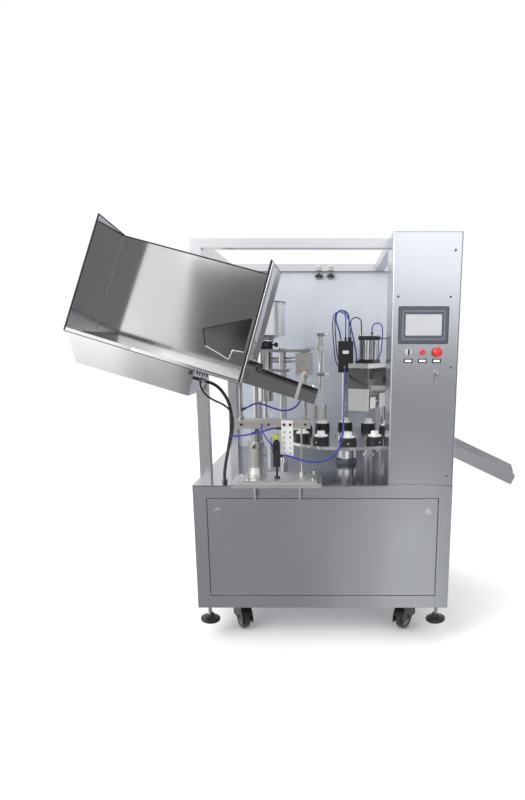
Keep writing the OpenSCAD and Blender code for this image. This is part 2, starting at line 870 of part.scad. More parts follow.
module heater_body() {
    in_port = air_hose_pts[len(air_hose_pts) - 1];
    out_port = heater_hose_pts[0];
    color("black") difference() {
        union() {
            translate([table_x, heater_y, heater_z]) linear_extrude(heater_h) {
                r = 8;
                square([heater_w, heater_w - 2 * r], center = true);
                square([heater_w - 2 * r, heater_w], center = true);
                for (sx = [-1, 1], sy = [-1, 1])
                    translate([sx, sy] * (heater_w / 2 - r)) circle(r);
            }
            bar_y(in_port[0], in_port[2], 14, in_port[1] + hose_seat, heater_y - heater_w / 2 + 1);
            bar_z(out_port[0], out_port[1], 16, heater_z + heater_h - 1, out_port[2] - hose_seat);
        }
        bar_z(table_x, heater_y, heater_rod_d + 2 * running, heater_z - 1, heater_z + heater_h - 12);
    }
}

// Portal over the sealing station with jaw guide rods, crosshead and closing cylinder
module seal_head() {
    r0 = holder_ring - seal_in;
    r1 = holder_ring + seal_out;
    top = seal_top_z + seal_top_t;
    port = heater_hose_pts[len(heater_hose_pts) - 1];
    cap_h = 22;
    half = seal_cyl_w / 2;
    color("gray") {
        at_seal() {
            block([r0, -seal_half, seal_top_z], [r1, seal_half, top]);
            for (r = [r0, r1 - seal_plate])
                block([r, -seal_half, seal_low], [r + seal_plate, seal_half, seal_top_z + 1]);
            for (t = [-guide_t, guide_t])
                bar_x(t, guide_z, guide_d, r0 + 1, r1 - 1);
            bar_z(holder_ring, 0, 24, seal_top_z - 60, seal_top_z + 1);
            block([holder_ring - 44, -22, seal_top_z - 96], [holder_ring + 44, 22, seal_top_z - 58]);
            for (z = [top - 1, top + seal_cyl_h - cap_h])
                block([holder_ring - half, -half, z], [holder_ring + half, half, z + cap_h]);
            bar_z(holder_ring, 0, seal_cyl_w - 10, top, top + seal_cyl_h - 1);
            for (sx = [-1, 1], sy = [-1, 1])
                bar_z(holder_ring + sx * (half - 8), sy * (half - 8), 9, top, top + seal_cyl_h - 1);
        }
        bar_z(port[0], port[1], 16, top - 1, port[2] - hose_seat);
    }
}

// Slim cylinder over the loading station on a bar from the pump frame
module press_cylinder() {
    cap_h = 16;
    bar_t = 12;
    bar_z0 = pump_top_z + pump_t;
    reach = [nozzle_x + 16, pump_y - 16] - [load_x, load_y];
    color("lightgray") difference() {
        union() {
            bar_z(load_x, load_y, press_d, press_z0, press_z1);
            for (z = [press_z0, press_z1 - cap_h])
                bar_z(load_x, load_y, press_d + 6, z, z + cap_h);
            bar_z(load_x, load_y, press_d + 18, bar_z0 - 5, bar_z0 + bar_t + 5);
            translate([load_x, load_y, bar_z0]) rotate([0, 0, atan2(reach[1], reach[0])])
                block([press_d / 2 + 2, -14, 0], [norm(reach), 14, bar_t]);
        }
        bar_z(load_x, load_y, press_rod_d + 2 * running, press_z0 - 1, press_z1 - 10);
    }
}

// Sloping channel with a taller far wall and a skewed mouth, on a post from the deck
module discharge_chute() {
    far_l = chute_l + chute_skew;
    y1 = chute_y0 + chute_w;
    s = chute_sheet;
    post_x = chute_x + 66;
    color("silver") {
        translate([chute_x, 0, chute_z]) rotate([0, chute_tilt, 0]) {
            translate([0, 0, -s]) linear_extrude(s)
                polygon([[0, chute_y0], [chute_l, chute_y0], [far_l, y1], [0, y1]]);
            slab_y([[0, -s], [chute_l, -s], [chute_l, chute_near_h - 14], [chute_l - 14, chute_near_h],
                    [0, chute_near_h]], chute_y0, chute_y0 + s);
            slab_y([[0, -s], [far_l, -s], [far_l, chute_far_h - 30], [far_l - 30, chute_far_h],
                    [0, chute_far_h]], y1 - s, y1);
        }
        difference() {
            union() {
                bar_z(post_x, chute_y0 + chute_w / 2, 30, deck_z, chute_z);
                bar_z(post_x, chute_y0 + chute_w / 2, 76, deck_z, deck_z + 10);
            }
            translate([chute_x, 0, chute_z]) rotate([0, chute_tilt, 0])
                block([-200, -500, -s / 2], [800, 500, 500]);
        }
    }
}

// Cheeks, hood and axle of a caster, with the swivel axis at the origin and the wheel behind it
module caster_fork(offset, top) {
    outer = cheek_gap / 2 + cheek_t;
    hood_r = wheel_d / 2 + hood_gap;
    color("black") {
        translate([0, 0, crown_z]) cylinder(d = crown_d, h = top - crown_z);
        difference() {
            union() {
                slab_x([[-30, crown_z + 2], [30, crown_z + 2], [offset + 16, axle_z - 12],
                        [offset - 16, axle_z - 12]], -outer, outer);
                translate([-outer, offset, axle_z]) rotate([0, 90, 0]) cylinder(r = hood_r + 3, h = 2 * outer);
            }
            block([-cheek_gap / 2, -200, -10], [cheek_gap / 2, 200, axle_z + 20]);
            translate([-cheek_gap / 2, offset, axle_z]) rotate([0, 90, 0])
                cylinder(r = hood_r, h = cheek_gap);
            block([-outer - 1, offset - 200, -20], [outer + 1, offset + 200, axle_z - 13]);
            translate([0, 0, crown_z - 40]) cylinder(d = kingpin_head + 4, h = 40 - play);
        }
        bar_x(offset, axle_z, axle_d, -outer - 4, outer + 4);
    }
}

// Swivelling front caster fork with its brake pedal
module front_fork(side) {
    turn = caster_turn[side < 0 ? 0 : 1];
    outer = cheek_gap / 2 + cheek_t;
    translate([side * caster_x, -caster_y, 0]) rotate([0, 0, turn]) {
        difference() {
            caster_fork(trail, mount_z - play);
            translate([0, 0, crown_z - 1]) cylinder(d = kingpin_d + 2 * running, h = mount_z);
        }
        color("dimgray")
            slab_x([[trail + wheel_d / 2 + 2, axle_z + 24], [trail + wheel_d / 2 + 18, axle_z + 16],
                    [trail + wheel_d / 2 + 18, axle_z + 21], [trail + wheel_d / 2 - 4, axle_z + 36]],
                   -outer + 4, outer - 4);
    }
}

module front_left_fork() {
    front_fork(-1);
}

module front_right_fork() {
    front_fork(1);
}

module rear_caster_forks() {
    for (side = [-1, 1])
        translate([side * caster_x, caster_y, 0]) caster_fork(0, mount_z);
}

// Caster wheel: soft tread on a hub that fills the fork
module wheel() {
    r = wheel_d / 2;
    w = wheel_w / 2;
    hub = cheek_gap / 2 - play;
    hub_r = axle_d + 4;
    color("black") rotate([0, 90, 0]) rotate_extrude() polygon([
        [axle_d / 2 + running, -hub], [hub_r, -hub], [hub_r, -w + 5], [r - 16, -w + 3], [r - 13, -w],
        [r - 5, -w], [r - 1.5, -w + 3.5], [r, -w + 9], [r, w - 9], [r - 1.5, w - 3.5], [r - 5, w], [r - 13, w],
        [r - 16, w - 3], [hub_r, w - 5], [hub_r, hub], [axle_d / 2 + running, hub]]);
}

module front_wheel(side) {
    turn = caster_turn[side < 0 ? 0 : 1];
    translate([side * caster_x, -caster_y, 0]) rotate([0, 0, turn]) translate([0, trail, axle_z]) wheel();
}

module front_left_wheel() {
    front_wheel(-1);
}

module front_right_wheel() {
    front_wheel(1);
}

module rear_left_wheel() {
    translate([-caster_x, caster_y, axle_z]) wheel();
}

module rear_right_wheel() {
    translate([caster_x, caster_y, axle_z]) wheel();
}

// Levelling foot: stem in the post's plug, lock nut, and a pad that hangs tilted on its ball end
module foot(sx, sy) {
    r = pad_d / 2;
    lift = foot_clear + r * sin(pad_tilt);
    color("dimgray") translate([sx * (half_w - foot_inset), sy * (half_d - foot_inset), 0]) {
        translate([0, 0, lift + 22]) cylinder(d = stem_d, h = base_z + plug_t + 92 - lift - 22);
        translate([0, 0, base_z - play - 10]) cylinder(d = stem_d + 12, h = 10, $fn = 6);
        translate([0, 0, lift]) rotate([0, -sx * pad_tilt, 0]) rotate_extrude() polygon([
            [0, 0], [r - 2, 0], [r, 2], [r, 9], [r - 6, 13], [stem_d, 20], [stem_d - 4, 34], [0, 34]]);
    }
}

module front_left_foot() {
    foot(-1, -1);
}

module front_right_foot() {
    foot(1, -1);
}

module rear_left_foot() {
    foot(-1, 1);
}

module rear_right_foot() {
    foot(1, 1);
}

// Folded door pan with pivot bosses in its lower corners and bores for the locks
module front_door() {
    y1 = front_y + door_depth;
    s = door_sheet;
    lip = 16;
    boss_l = pivot_l - door_gap;
    color("silver") difference() {
        union() {
            difference() {
                block([-door_x, front_y, door_z0], [door_x, y1, door_z1]);
                block([s - door_x, front_y + s, door_z0 + s], [door_x - s, y1 - s, door_z1 - s]);
                block([lip - door_x, front_y + s, door_z0 + lip], [door_x - lip, y1 + 1, door_z1 - lip]);
            }
            for (sx = [-1, 1]) {
                edge = sx * door_x;
                bar_x(pivot_y, pivot_z, 2 * pivot_boss, min(edge, edge - sx * boss_l), max(edge, edge - sx * boss_l));
                bar_y(sx * lock_x, lock_z, lock_spindle_d + 10, front_y + 1, y1 - 2);
            }
        }
        for (sx = [-1, 1]) {
            edge = sx * (door_x + 1);
            bar_x(pivot_y, pivot_z, pivot_d + 2 * running, min(edge, edge - sx * (boss_l + 2)),
                  max(edge, edge - sx * (boss_l + 2)));
            bar_y(sx * lock_x, lock_z, lock_spindle_d + 2 * running, front_y - 1, y1 + 1);
        }
    }
}

// Quarter-turn lock: slotted head, spindle and the tongue that turns up behind its keeper
module door_lock(side) {
    x = side * lock_x;
    slot_w = 3;
    color("gainsboro") {
        difference() {
            bar_y(x, lock_z, lock_head_d, front_y - lock_proud, front_y - 0.01);
            block([x - slot_w / 2, front_y - lock_proud - 1, lock_z - lock_head_d * 0.3],
                  [x + slot_w / 2, front_y - lock_proud + 3, lock_z + lock_head_d * 0.3]);
        }
        bar_y(x, lock_z, lock_spindle_d, front_y - 1, tongue_y + tongue_t);
        block([min(x, x - side * tongue_l), tongue_y, lock_z - tongue_w / 2],
              [max(x, x - side * tongue_l), tongue_y + tongue_t, lock_z + tongue_w / 2]);
        bar_y(x, lock_z, tongue_w, tongue_y, tongue_y + tongue_t);
    }
}

module left_lock() {
    door_lock(-1);
}

module right_lock() {
    door_lock(1);
}

// Column door: folded pan with rounded edges, switch collars and the touch panel's cut-out
module column_door() {
    y1 = front_y + col_door_d;
    s = door_sheet;
    h = col_door_z1 - col_door_z0;
    lip = 14;
    color("silver") difference() {
        union() {
            translate([0, 0, col_door_z0]) linear_extrude(h) difference() {
                column_plan(0, y1);
                column_plan(s, y1 - s);
                translate([col_x + lip, front_y + s]) square([col_w - 2 * lip, col_d]);
            }
            for (z = [col_door_z0, col_door_z1 - s])
                translate([0, 0, z]) linear_extrude(s) column_plan(0, y1);
            for (z = [col_door_z0, col_door_z1 - col_hinge_l - 4])
                translate([col_hinge_x, col_hinge_y, z])
                    cylinder(d = 2 * (col_hinge_x - col_x) - 1, h = col_hinge_l + 4);
            for (x = [selector_x, start_x, stop_x])
                bar_y(x, switch_z, collar_d, front_y - collar_t, front_y + s);
            bar_y(stop_x, key_z, key_d + 8, front_y - collar_t, front_y + s);
            for (i = [0 : 2])
                bar_y(half_w - 32, deck_z + 46 + i * edge_screw_pitch, 12, front_y - 3, front_y + s);
            for (sx = [-1, 1])
                bar_y(start_x + sx * (hmi_w / 2 + 3), hmi_z + hmi_h / 2 + 39, 10, front_y - 3, front_y + s);
        }
        for (z = [col_door_z0 - 1, col_door_z1 - col_hinge_l - 1])
            translate([col_hinge_x, col_hinge_y, z]) cylinder(d = col_hinge_d + 2 * running, h = col_hinge_l + 2);
        for (x = [selector_x, start_x, stop_x])
            bar_y(x, switch_z, switch_d + 2 * running, front_y - 10, y1);
        bar_y(stop_x, key_z, key_d + 2 * running, front_y - 10, y1);
        plaque(start_x, hmi_z, hmi_w - 26, hmi_h - 26, 4, front_y - 1, front_y + s + 1);
    }
}

// Touch panel: stepped bezel with a recessed screen and its housing behind the door
module touch_panel() {
    step = 12;
    color("slategray") difference() {
        union() {
            plaque(start_x, hmi_z, hmi_w, hmi_h, 6, front_y - hmi_proud * 0.5, front_y);
            plaque(start_x, hmi_z, hmi_w - step, hmi_h - step, 5, front_y - hmi_proud, front_y - 1);
            plaque(start_x, hmi_z, hmi_w - 28, hmi_h - 28, 4, front_y - 1, front_y + 42);
        }
        plaque(start_x, hmi_z + 1, hmi_w - 58, hmi_h - 66, 2, front_y - hmi_proud - 1, front_y - hmi_proud + 2.5);
    }
}

// Key selector: ring, turning barrel and bow handle
module selector_switch() {
    color("gainsboro") {
        bar_y(selector_x, switch_z, switch_d, front_y - collar_t - 5, front_y + spindle_back);
        bar_y(selector_x, switch_z, switch_d + 6, front_y - collar_t - 5, front_y - collar_t - 0.01);
        plaque(selector_x, switch_z, 7, switch_d + 4, 3, front_y - collar_t - 16, front_y - collar_t - 4);
    }
}

module start_button() {
    color("red") {
        bar_y(start_x, switch_z, switch_d, front_y - collar_t - button_travel - 3, front_y + spindle_back);
        bar_y(start_x, switch_z, switch_d - 3, front_y - collar_t - button_travel - 5, front_y);
    }
}

// Mushroom head on a stem, clear of its collar by its travel
module emergency_stop() {
    neck = button_travel + 4;
    r = stop_head_d / 2;
    color("red") {
        bar_y(stop_x, switch_z, switch_d, front_y - collar_t - neck, front_y + spindle_back);
        translate([stop_x, front_y - collar_t - neck, switch_z]) rotate([90, 0, 0]) rotate_extrude()
            polygon([[0, 0], [r - 3, 0], [r, 3], [r, 7], [r - 2, 11], [r - 7, 14], [r - 14, 16], [0, 16.5]]);
    }
}

// Cabinet lock barrel with its key
module door_key() {
    y0 = front_y - collar_t - 4;
    color("gainsboro") {
        bar_y(stop_x, key_z, key_d, y0, front_y + spindle_back - 6);
        plaque(stop_x, key_z, 3, 8, 1, y0 - 16, y0 + 1);
        translate([stop_x - 1.5, y0 - 14, key_z - 4]) rotate([0, 90, 0]) cylinder(d = 22, h = 3);
    }
}

// Turntable with its hub, collar and shaft, and a push-out hole under each holder
module rotary_table() {
    push_d = 14;
    color("silver") difference() {
        union() {
            bar_z(table_x, 0, 2 * table_r, table_low, table_top);
            bar_z(table_x, 0, shaft_d, shaft_low, table_low - play);
            bar_z(table_x, 0, shaft_d + 90, table_low - hub_h, table_low - play);
            bar_z(table_x, 0, shaft_d + 44, collar_z, collar_z + 40);
            bar_z(table_x, 0, shaft_d + 60, table_top - 1, table_top + 12);
            bar_z(table_x, 0, shaft_d - 10, table_top, table_top + 26);
        }
        at_holders() translate([0, 0, table_low - 1]) cylinder(d = push_d, h = table_t + 2);
    }
}

// One child at each holder's place
module at_holders() {
    for (i = [0 : holder_n - 1])
        translate([table_x, 0, 0]) rotate([0, 0, i * 360 / holder_n]) translate([holder_ring, 0, 0]) children();
}

module tube_holders() {
    r = holder_d / 2;
    seat = insert_neck_d / 2 + running;
    deep = holder_h - insert_depth;
    color("black") at_holders() translate([0, 0, table_top]) rotate_extrude() polygon([
        [0, 0], [r, 0], [r, holder_h - 12], [r - 2, holder_h - 11], [r - 2, holder_h - 2], [r - 4, holder_h],
        [seat, holder_h], [seat, deep], [0, deep]]);
}

// White stepped insert: spigot in the holder, flange and neck round the tube's socket
module tube_inserts() {
    hole = socket_d / 2;
    neck = insert_neck_d / 2;
    flange = insert_flange_d / 2;
    rise = insert_flange_h + insert_neck_h;
    color("white") at_holders() translate([0, 0, table_top + holder_h]) rotate_extrude() polygon([
        [hole, -insert_depth], [neck, -insert_depth], [neck, 0], [flange, 0], [flange, insert_flange_h - 1],
        [flange - 1, insert_flange_h], [neck, insert_flange_h], [neck, rise - 2], [neck - 2, rise],
        [hole, rise]]);
}

// Lift rod, slotted beam, perforated bracket and the rods under magazine and trough
module lift_beam() {
    y1 = beam_y0 + beam_d;
    slot = 8;
    plate_x = beam_x0 + 201;
    plate_w = 53;
    plate_h = 165;
    plate_t = 6;
    rod_x = mag_x - 28;
    end_x = beam_x1 - 24;
    color("gainsboro") {
        bar_z(lift_x, lift_y, lift_d, lift_low, beam_z + 1);
        difference() {
            block([beam_x0, beam_y0, beam_z], [beam_x1, y1, beam_top]);
            for (y = [beam_y0 - 1, y1 - slot])
                block([beam_x0 - 1, y, beam_z + (beam_h - slot) / 2],
                      [beam_x1 + 1, y + slot + 1, beam_z + (beam_h + slot) / 2]);
        }
        difference() {
            block([plate_x, beam_y0 - plate_t, beam_top - plate_h], [plate_x + plate_w, beam_y0, beam_top]);
            for (i = [0 : 4], sx = [-1, 1])
                bar_y(plate_x + plate_w / 2 + sx * 13, beam_top - plate_h + 16 + i * 24, 8,
                      beam_y0 - plate_t - 1, beam_y0 + 1);
        }
        difference() {
            union() {
                for (y = [lift_y - 20, lift_y + 20]) {
                    bar_z(rod_x, y, 10, beam_top - 1, mag_z + 60);
                    bar_z(rod_x, y, 22, beam_top - 1, beam_top + 12);
                }
                block([end_x, lift_y - 28, beam_top - 1], [end_x + 8, lift_y + 28, mag_z + 60]);
                block([end_x - 14, lift_y - 28, beam_top - 1], [end_x + 22, lift_y + 28, beam_top + 8]);
            }
            above_slope(trough_t);
        }
    }
}

// Open bin: floor with front lip, back wall, leaning left wall, end plate with throat, throat hood
module magazine_bin() {
    s = mag_sheet;
    lean = atan(wall_lean / left_h0);
    hood_d = 40;
    end_h = mag_h + end_rise;
    lip_h = 12;
    color("silver") on_slope() {
        block([-mag_l, mag_front, -trough_t], [end_t / 2, mag_rear, 0]);
        block([1.5 - mag_l, mag_front + 0.5, -1], [end_t / 2, mag_front + 0.5 + s, lip_h]);
        slab_y([[1.5 - mag_l, -1], [end_t / 2, -1], [end_t / 2, mag_h], [wall_lean - mag_l + 1.5, left_h0 - 5]],
               mag_rear - s, mag_rear);
        translate([0.5 - mag_l, 0, 0]) rotate([0, lean, 0])
            slab_x([[mag_front, -1], [mag_rear - 1, -1], [mag_rear - 1, left_h0], [mag_front, mag_h]], 0, s);
        difference() {
            block([0, mag_front + 0.3, -trough_t], [end_t, mag_rear, end_h]);
            block([-1, trough_y0, 0], [end_t + 1, trough_y1, throat_h]);
        }
        for (y = [mag_front + 0.3, mag_rear - s])
            block([end_t / 2, y, throat_h + 30], [end_flange, y + s, end_h]);
        slab_y([[-250, 156], [-222, 87], [-183, 78], [-107, 58], [-100, 103], [-50, 109], [-50, 264]],
               mag_rear - hood_d, mag_rear - 1);
    }
}

// Casing under the bin, open to the floor above it, with the cable's gland in its right end
module magazine_casing() {
    c = casing_in;
    top = -trough_t;
    low = -trough_t - casing_h;
    slope = (mag_l - 12 - casing_l0) / casing_h;
    gland_v = -62;
    y0 = mag_front + 2;
    y1 = mag_rear - 2;
    cable_y = cable_pts[0][1];
    color("silver") on_slope() {
        difference() {
            slab_y([[12 - mag_l, top], [-casing_l0, low], [-casing_l1, low], [-casing_l1, top]], y0, y1);
            slab_y([[12 - mag_l + 1.6 * c - slope, top + 1], [-casing_l0 + 0.6 * c, low + c],
                    [-casing_l1 - c, low + c], [-casing_l1 - c, top + 1]], y0 + c, y1 - c);
        }
        bar_x(cable_y, gland_v, cable_d + 10, -casing_l1 - 1, 14 - casing_l1);
    }
}

// Channel that the tubes roll down, with the pin that carries the loading cup
module feed_trough() {
    t = trough_t;
    ear_x0 = cup_arm_x - 14;
    ear_x1 = cup_arm_x - play;
    end_x = min(mag_x + trough_l * cos(mag_tilt), ear_x1);
    end_z = mag_z - trough_l * sin(mag_tilt);
    wall = [[end_t, -t], [trough_l, -t], [trough_l, trough_h], [trough_step, throat_h - 2],
            [trough_step, throat_h + 18], [end_t, throat_h + 18]];
    color("silver") {
        on_slope() {
            block([end_t, trough_y0 - t, -t], [trough_l, trough_y1 + t, 0]);
            slab_y(wall, trough_y0 - t, trough_y0);
            slab_y(wall, trough_y1, trough_y1 + t);
        }
        slab_x([[trough_y1 + 1, cup_pivot_z - 24], [cup_pivot_y, cup_pivot_z - 12],
                [cup_pivot_y + 12, cup_pivot_z], [cup_pivot_y, cup_pivot_z + 12],
                [trough_y1 + 1, cup_pivot_z + 6]], ear_x0, ear_x1);
        block([end_x - 40, trough_y1 + 1, end_z + 20], [ear_x1, trough_y1 + t + 3, end_z + 36]);
        bar_x(cup_pivot_y, cup_pivot_z, cup_pin_d, ear_x0, cup_arm_x + cup_arm_t + play + 6);
        bar_x(cup_pivot_y, cup_pivot_z, cup_pin_d + 8, cup_arm_x + cup_arm_t + play,
              cup_arm_x + cup_arm_t + play + 6);
    }
}

// Half-round cup on a bent arm that swings the tube upright over the loading station
module loading_cup() {
    reach_y = load_y - cup_pivot_y;
    w = cup_arm_w / 2;
    color("gray") {
        difference() {
            bar_z(load_x, load_y, 2 * cup_r, cup_z0, cup_z1);
            bar_z(load_x, load_y, 2 * (cup_r - cup_wall), cup_z0 - 1, cup_z1 + 1);
            block([load_x - 60, load_y - 60, cup_z0 - 1], [load_x + 60, load_y - 6, cup_z1 + 1]);
        }
        difference() {
            union() {
                bar_x(cup_pivot_y, cup_pivot_z, 30, cup_arm_x, cup_arm_x + cup_arm_t);
                translate([0, cup_pivot_y, cup_pivot_z])
                    slab_x([[0, -w], [reach_y - w, -w], [reach_y - w, cup_z0 + 12 - cup_pivot_z],
                            [reach_y + w, cup_z0 + 12 - cup_pivot_z], [reach_y + w, 4], [reach_y + w - 7, w],
                            [0, w]], cup_arm_x, cup_arm_x + cup_arm_t);
            }
            bar_x(cup_pivot_y, cup_pivot_z, cup_pin_d + 2 * running, cup_arm_x - 1, cup_arm_x + cup_arm_t + 1);
        }
    }
}

// Gate across the trough, bridged to the strap on the trough's front
module tube_gate() {
    half = strap_w / 2;
    y_out = trough_y0 - trough_t - play;
    color("gainsboro") on_slope() {
        block([gate_u - gate_t / 2, trough_y0 + play, gate_low], [gate_u + gate_t / 2, trough_y1 - play, gate_top]);
        block([gate_u - half, y_out - 8, gate_top - 10], [gate_u + half, trough_y1 - play, gate_top]);
        block([gate_u - half, y_out - 8, -6], [gate_u + half, y_out, gate_top]);
    }
}

module press_rod() {
    color("gainsboro") {
        bar_z(load_x, load_y, press_rod_d, press_tip, press_z1 - 50);
        bar_z(load_x, load_y, press_rod_d + 8, press_tip, press_tip + 10);
    }
}

module dosing_piston() {
    low = barrel_z0 + 14;
    color("silver") {
        bar_z(pump_x, pump_y, dose_d - 2 * running, low, low + piston_h);
        bar_z(pump_x, pump_y, dose_rod_d, low - 110, low + 1);
        bar_z(pump_x, pump_y, dose_rod_d + 20, low - 130, low - 108);
    }
}

module heater_nozzle() {
    color("silver") {
        bar_z(table_x, heater_y, heater_rod_d, heater_nozzle_z + 40, heater_z + heater_h - heater_travel - 30);
        bar_z(table_x, heater_y, heater_nozzle_d, heater_nozzle_z, heater_nozzle_z + 30);
        bar_z(table_x, heater_y, heater_nozzle_d - 14, heater_nozzle_z + 30, heater_nozzle_z + 60);
    }
}

// Sealing jaw between two radii, bored for the guide rods
module jaw(r0, r1, low, high) {
    color("lightgray") at_seal() difference() {
        block([r0, -jaw_half, low], [r1, jaw_half, high]);
        for (t = [-guide_t, guide_t])
            bar_x(t, guide_z, guide_d + 2 * running, r0 - 1, r1 + 1);
    }
}

module jaw_inner() {
    face = holder_ring - jaw_gap / 2;
    jaw(face - jaw_in_l, face, guide_z - 32, guide_z + 30);
}

module jaw_outer() {
    face = holder_ring + jaw_gap / 2;
    jaw(face, face + jaw_out_l, guide_z - 36, guide_z + 44);
}

// Smooth route through hand-chosen points
function through(p, i, t) =
    let (n = len(p), a = p[max(i - 1, 0)], b = p[i], c = p[min(i + 1, n - 1)], d = p[min(i + 2, n - 1)])
    0.5 * (2 * b + (c - a) * t + (2 * a - 5 * b + 4 * c - d) * t * t + (3 * b - a - 3 * c + d) * t * t * t);
function route(p, steps) = concat(
    [for (i = [0 : len(p) - 2], k = [0 : steps - 1]) through(p, i, k / steps)], [p[len(p) - 1]]);
function unit(v) = v / norm(v);
function heading(q, i) = unit(q[min(i + 1, len(q) - 1)] - q[max(i - 1, 0)]);

// Round tube swept along a route, with its side direction carried from ring to ring
module tube_along(points, d, steps, sides) {
    q = route(points, steps);
    n = len(q);
    first = heading(q, 0);
    start = unit(cross(first, abs(first[2]) > 0.8 ? [1, 0, 0] : [0, 0, 1]));
    side = [for (i = 0, s = start; i < n;
                 i = i + 1, s = i < n ? unit(s - (s * heading(q, i)) * heading(q, i)) : s) s];
    rings = [for (i = [0 : n - 1], k = [0 : sides - 1])
        let (up = cross(heading(q, i), side[i]), a = k * 360 / sides)
        q[i] + d / 2 * (cos(a) * side[i] + sin(a) * up)];
    walls = [for (i = [0 : n - 2], k = [0 : sides - 1])
        [i * sides + k, i * sides + (k + 1) % sides, (i + 1) * sides + (k + 1) % sides, (i + 1) * sides + k]];
    ends = [[for (k = [sides - 1 : -1 : 0]) k], [for (k = [0 : sides - 1]) (n - 1) * sides + k]];
    polyhedron(rings, concat(walls, ends), convexity = 6);
}

module air_hose() {
    color("royalblue") tube_along(air_hose_pts, hose_d, 2, 8);
}

module heater_hose() {
    color("royalblue") tube_along(heater_hose_pts, loop_hose_d, 2, 8);
}

module cable_bundle() {
    color("black") tube_along(cable_pts, cable_d, 2, 8);
}

base_posts();
base_rails();
cabinet_panels();
bottom_plate();
deck_plate();
guard_posts();
guard_rails();
back_panel();
control_column();
electrics_plate();
indexer_gearbox();
main_motor();
loader_plates();
loader_column();
air_regulator();
pump_stand();
product_hopper();
dosing_cylinder();
station_posts();
heater_body();
seal_head();
press_cylinder();
discharge_chute();
rear_caster_forks();
front_door();
left_lock();
right_lock();
column_door();
touch_panel();
selector_switch();
start_button();
emergency_stop();
door_key();
rotary_table();
tube_holders();
tube_inserts();
lift_beam();
magazine_bin();
magazine_casing();
feed_trough();
loading_cup();
tube_gate();
press_rod();
dosing_piston();
heater_nozzle();
jaw_inner();
jaw_outer();
front_left_fork();
front_right_fork();
front_left_wheel();
front_right_wheel();
rear_left_wheel();
rear_right_wheel();
front_left_foot();
front_right_foot();
rear_left_foot();
rear_right_foot();
air_hose();
heater_hose();
cable_bundle();
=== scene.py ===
# %% [markdown]
# # A rotary tube filling machine
# The solids come from the drawing, packed as one model with joints. This lesson dresses them: every solid
# gets a finish, and small pieces that a drawing leaves out, such as edge trim, bolt heads, hose fittings
# and the screen, are added as surfaces worked out with numpy. All lengths in this file are metres unless
# a name says millimetres.

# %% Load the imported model
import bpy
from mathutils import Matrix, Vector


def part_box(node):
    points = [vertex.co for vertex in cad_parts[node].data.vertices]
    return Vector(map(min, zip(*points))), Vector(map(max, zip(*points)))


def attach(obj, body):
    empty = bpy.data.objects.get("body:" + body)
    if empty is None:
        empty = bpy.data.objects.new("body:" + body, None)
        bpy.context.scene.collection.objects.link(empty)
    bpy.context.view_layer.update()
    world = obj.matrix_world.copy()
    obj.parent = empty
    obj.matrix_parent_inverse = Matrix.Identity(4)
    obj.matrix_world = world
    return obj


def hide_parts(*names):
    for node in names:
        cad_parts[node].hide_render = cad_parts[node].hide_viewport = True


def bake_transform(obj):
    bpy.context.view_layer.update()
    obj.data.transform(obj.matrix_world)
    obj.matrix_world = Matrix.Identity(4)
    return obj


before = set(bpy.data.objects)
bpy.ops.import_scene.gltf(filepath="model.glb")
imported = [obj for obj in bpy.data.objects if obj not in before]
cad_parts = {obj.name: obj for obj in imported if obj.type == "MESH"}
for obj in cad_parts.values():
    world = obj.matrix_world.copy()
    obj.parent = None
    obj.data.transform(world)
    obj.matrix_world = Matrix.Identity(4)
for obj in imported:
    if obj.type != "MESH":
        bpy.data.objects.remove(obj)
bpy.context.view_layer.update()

import math
import bmesh
import bpy
import numpy as np
from mathutils import Vector

# %% [markdown]
# ## The camera
# The photograph was taken from the front, a little above the middle and looking down. The lens, height
# and tilt come from a fit to the straight edges of the base cabinet. The frame is shifted rather than
# turned, because the upright edges have to lean just as they do in the photograph.

# %% Camera
CAMERA_PLACE = (0.036, -2.869, 1.390)
CAMERA_PITCH = 78.7
FOCAL_PIXELS = 545.61
LONG_SIDE_PIXELS = 800.0
SENSOR = 36.0
FRAME_SHIFT = (-0.085, 0.0663)

camera_data = bpy.data.cameras.new("camera")
camera_data.sensor_width = SENSOR
camera_data.lens = FOCAL_PIXELS / LONG_SIDE_PIXELS * SENSOR
camera_data.shift_x, camera_data.shift_y = FRAME_SHIFT
camera = bpy.data.objects.new("camera", camera_data)
camera.location = CAMERA_PLACE
camera.rotation_euler = (math.radians(CAMERA_PITCH), 0.0, 0.0)
bpy.context.scene.collection.objects.link(camera)
bpy.context.scene.camera = camera
print("lens in millimetres:", round(camera_data.lens, 2))

# %% [markdown]
# ## A small surface kit
# Each new piece is a grid of points: a profile turned about an axis, a ring carried along a path, or an
# outline pushed to a thickness. Whole arrays are worked out at once, and one function turns them into a
# mesh that rides on a body of the model.

# %% Grids, rings and pieces
def mm(*numbers):
    """Millimetres, as the drawing gives them, as an array in metres."""
    return np.array(numbers, dtype=float) / 1000.0


def grid_faces(rows, columns, wrap_rows=False):
    """Quads between neighbouring points of a grid whose columns close on themselves."""
    r = np.arange(rows if wrap_rows else rows - 1)[:, None]
    c = np.arange(columns)[None, :]
    below, beside = (r + 1) % rows, (c + 1) % columns
    corners = [r * columns + c, r * columns + beside, below * columns + beside, below * columns + c]
    return np.stack(np.broadcast_arrays(*corners), axis=-1).reshape(-1, 4)


def capped(rings):
    """Points and faces of rings of points: walls between neighbours, and a flat cap on the first and last."""
    rows, columns = rings.shape[:2]
    faces = grid_faces(rows, columns).tolist()
    faces.append(list(range(columns))[::-1])
    faces.append(list(range((rows - 1) * columns, rows * columns)))
    return rings.reshape(-1, 3), faces


def looped(rings):
    """Points and faces of rings that also close from the last ring to the first, as in a washer."""
    rows, columns = rings.shape[:2]
    return rings.reshape(-1, 3), grid_faces(rows, columns, True).tolist()


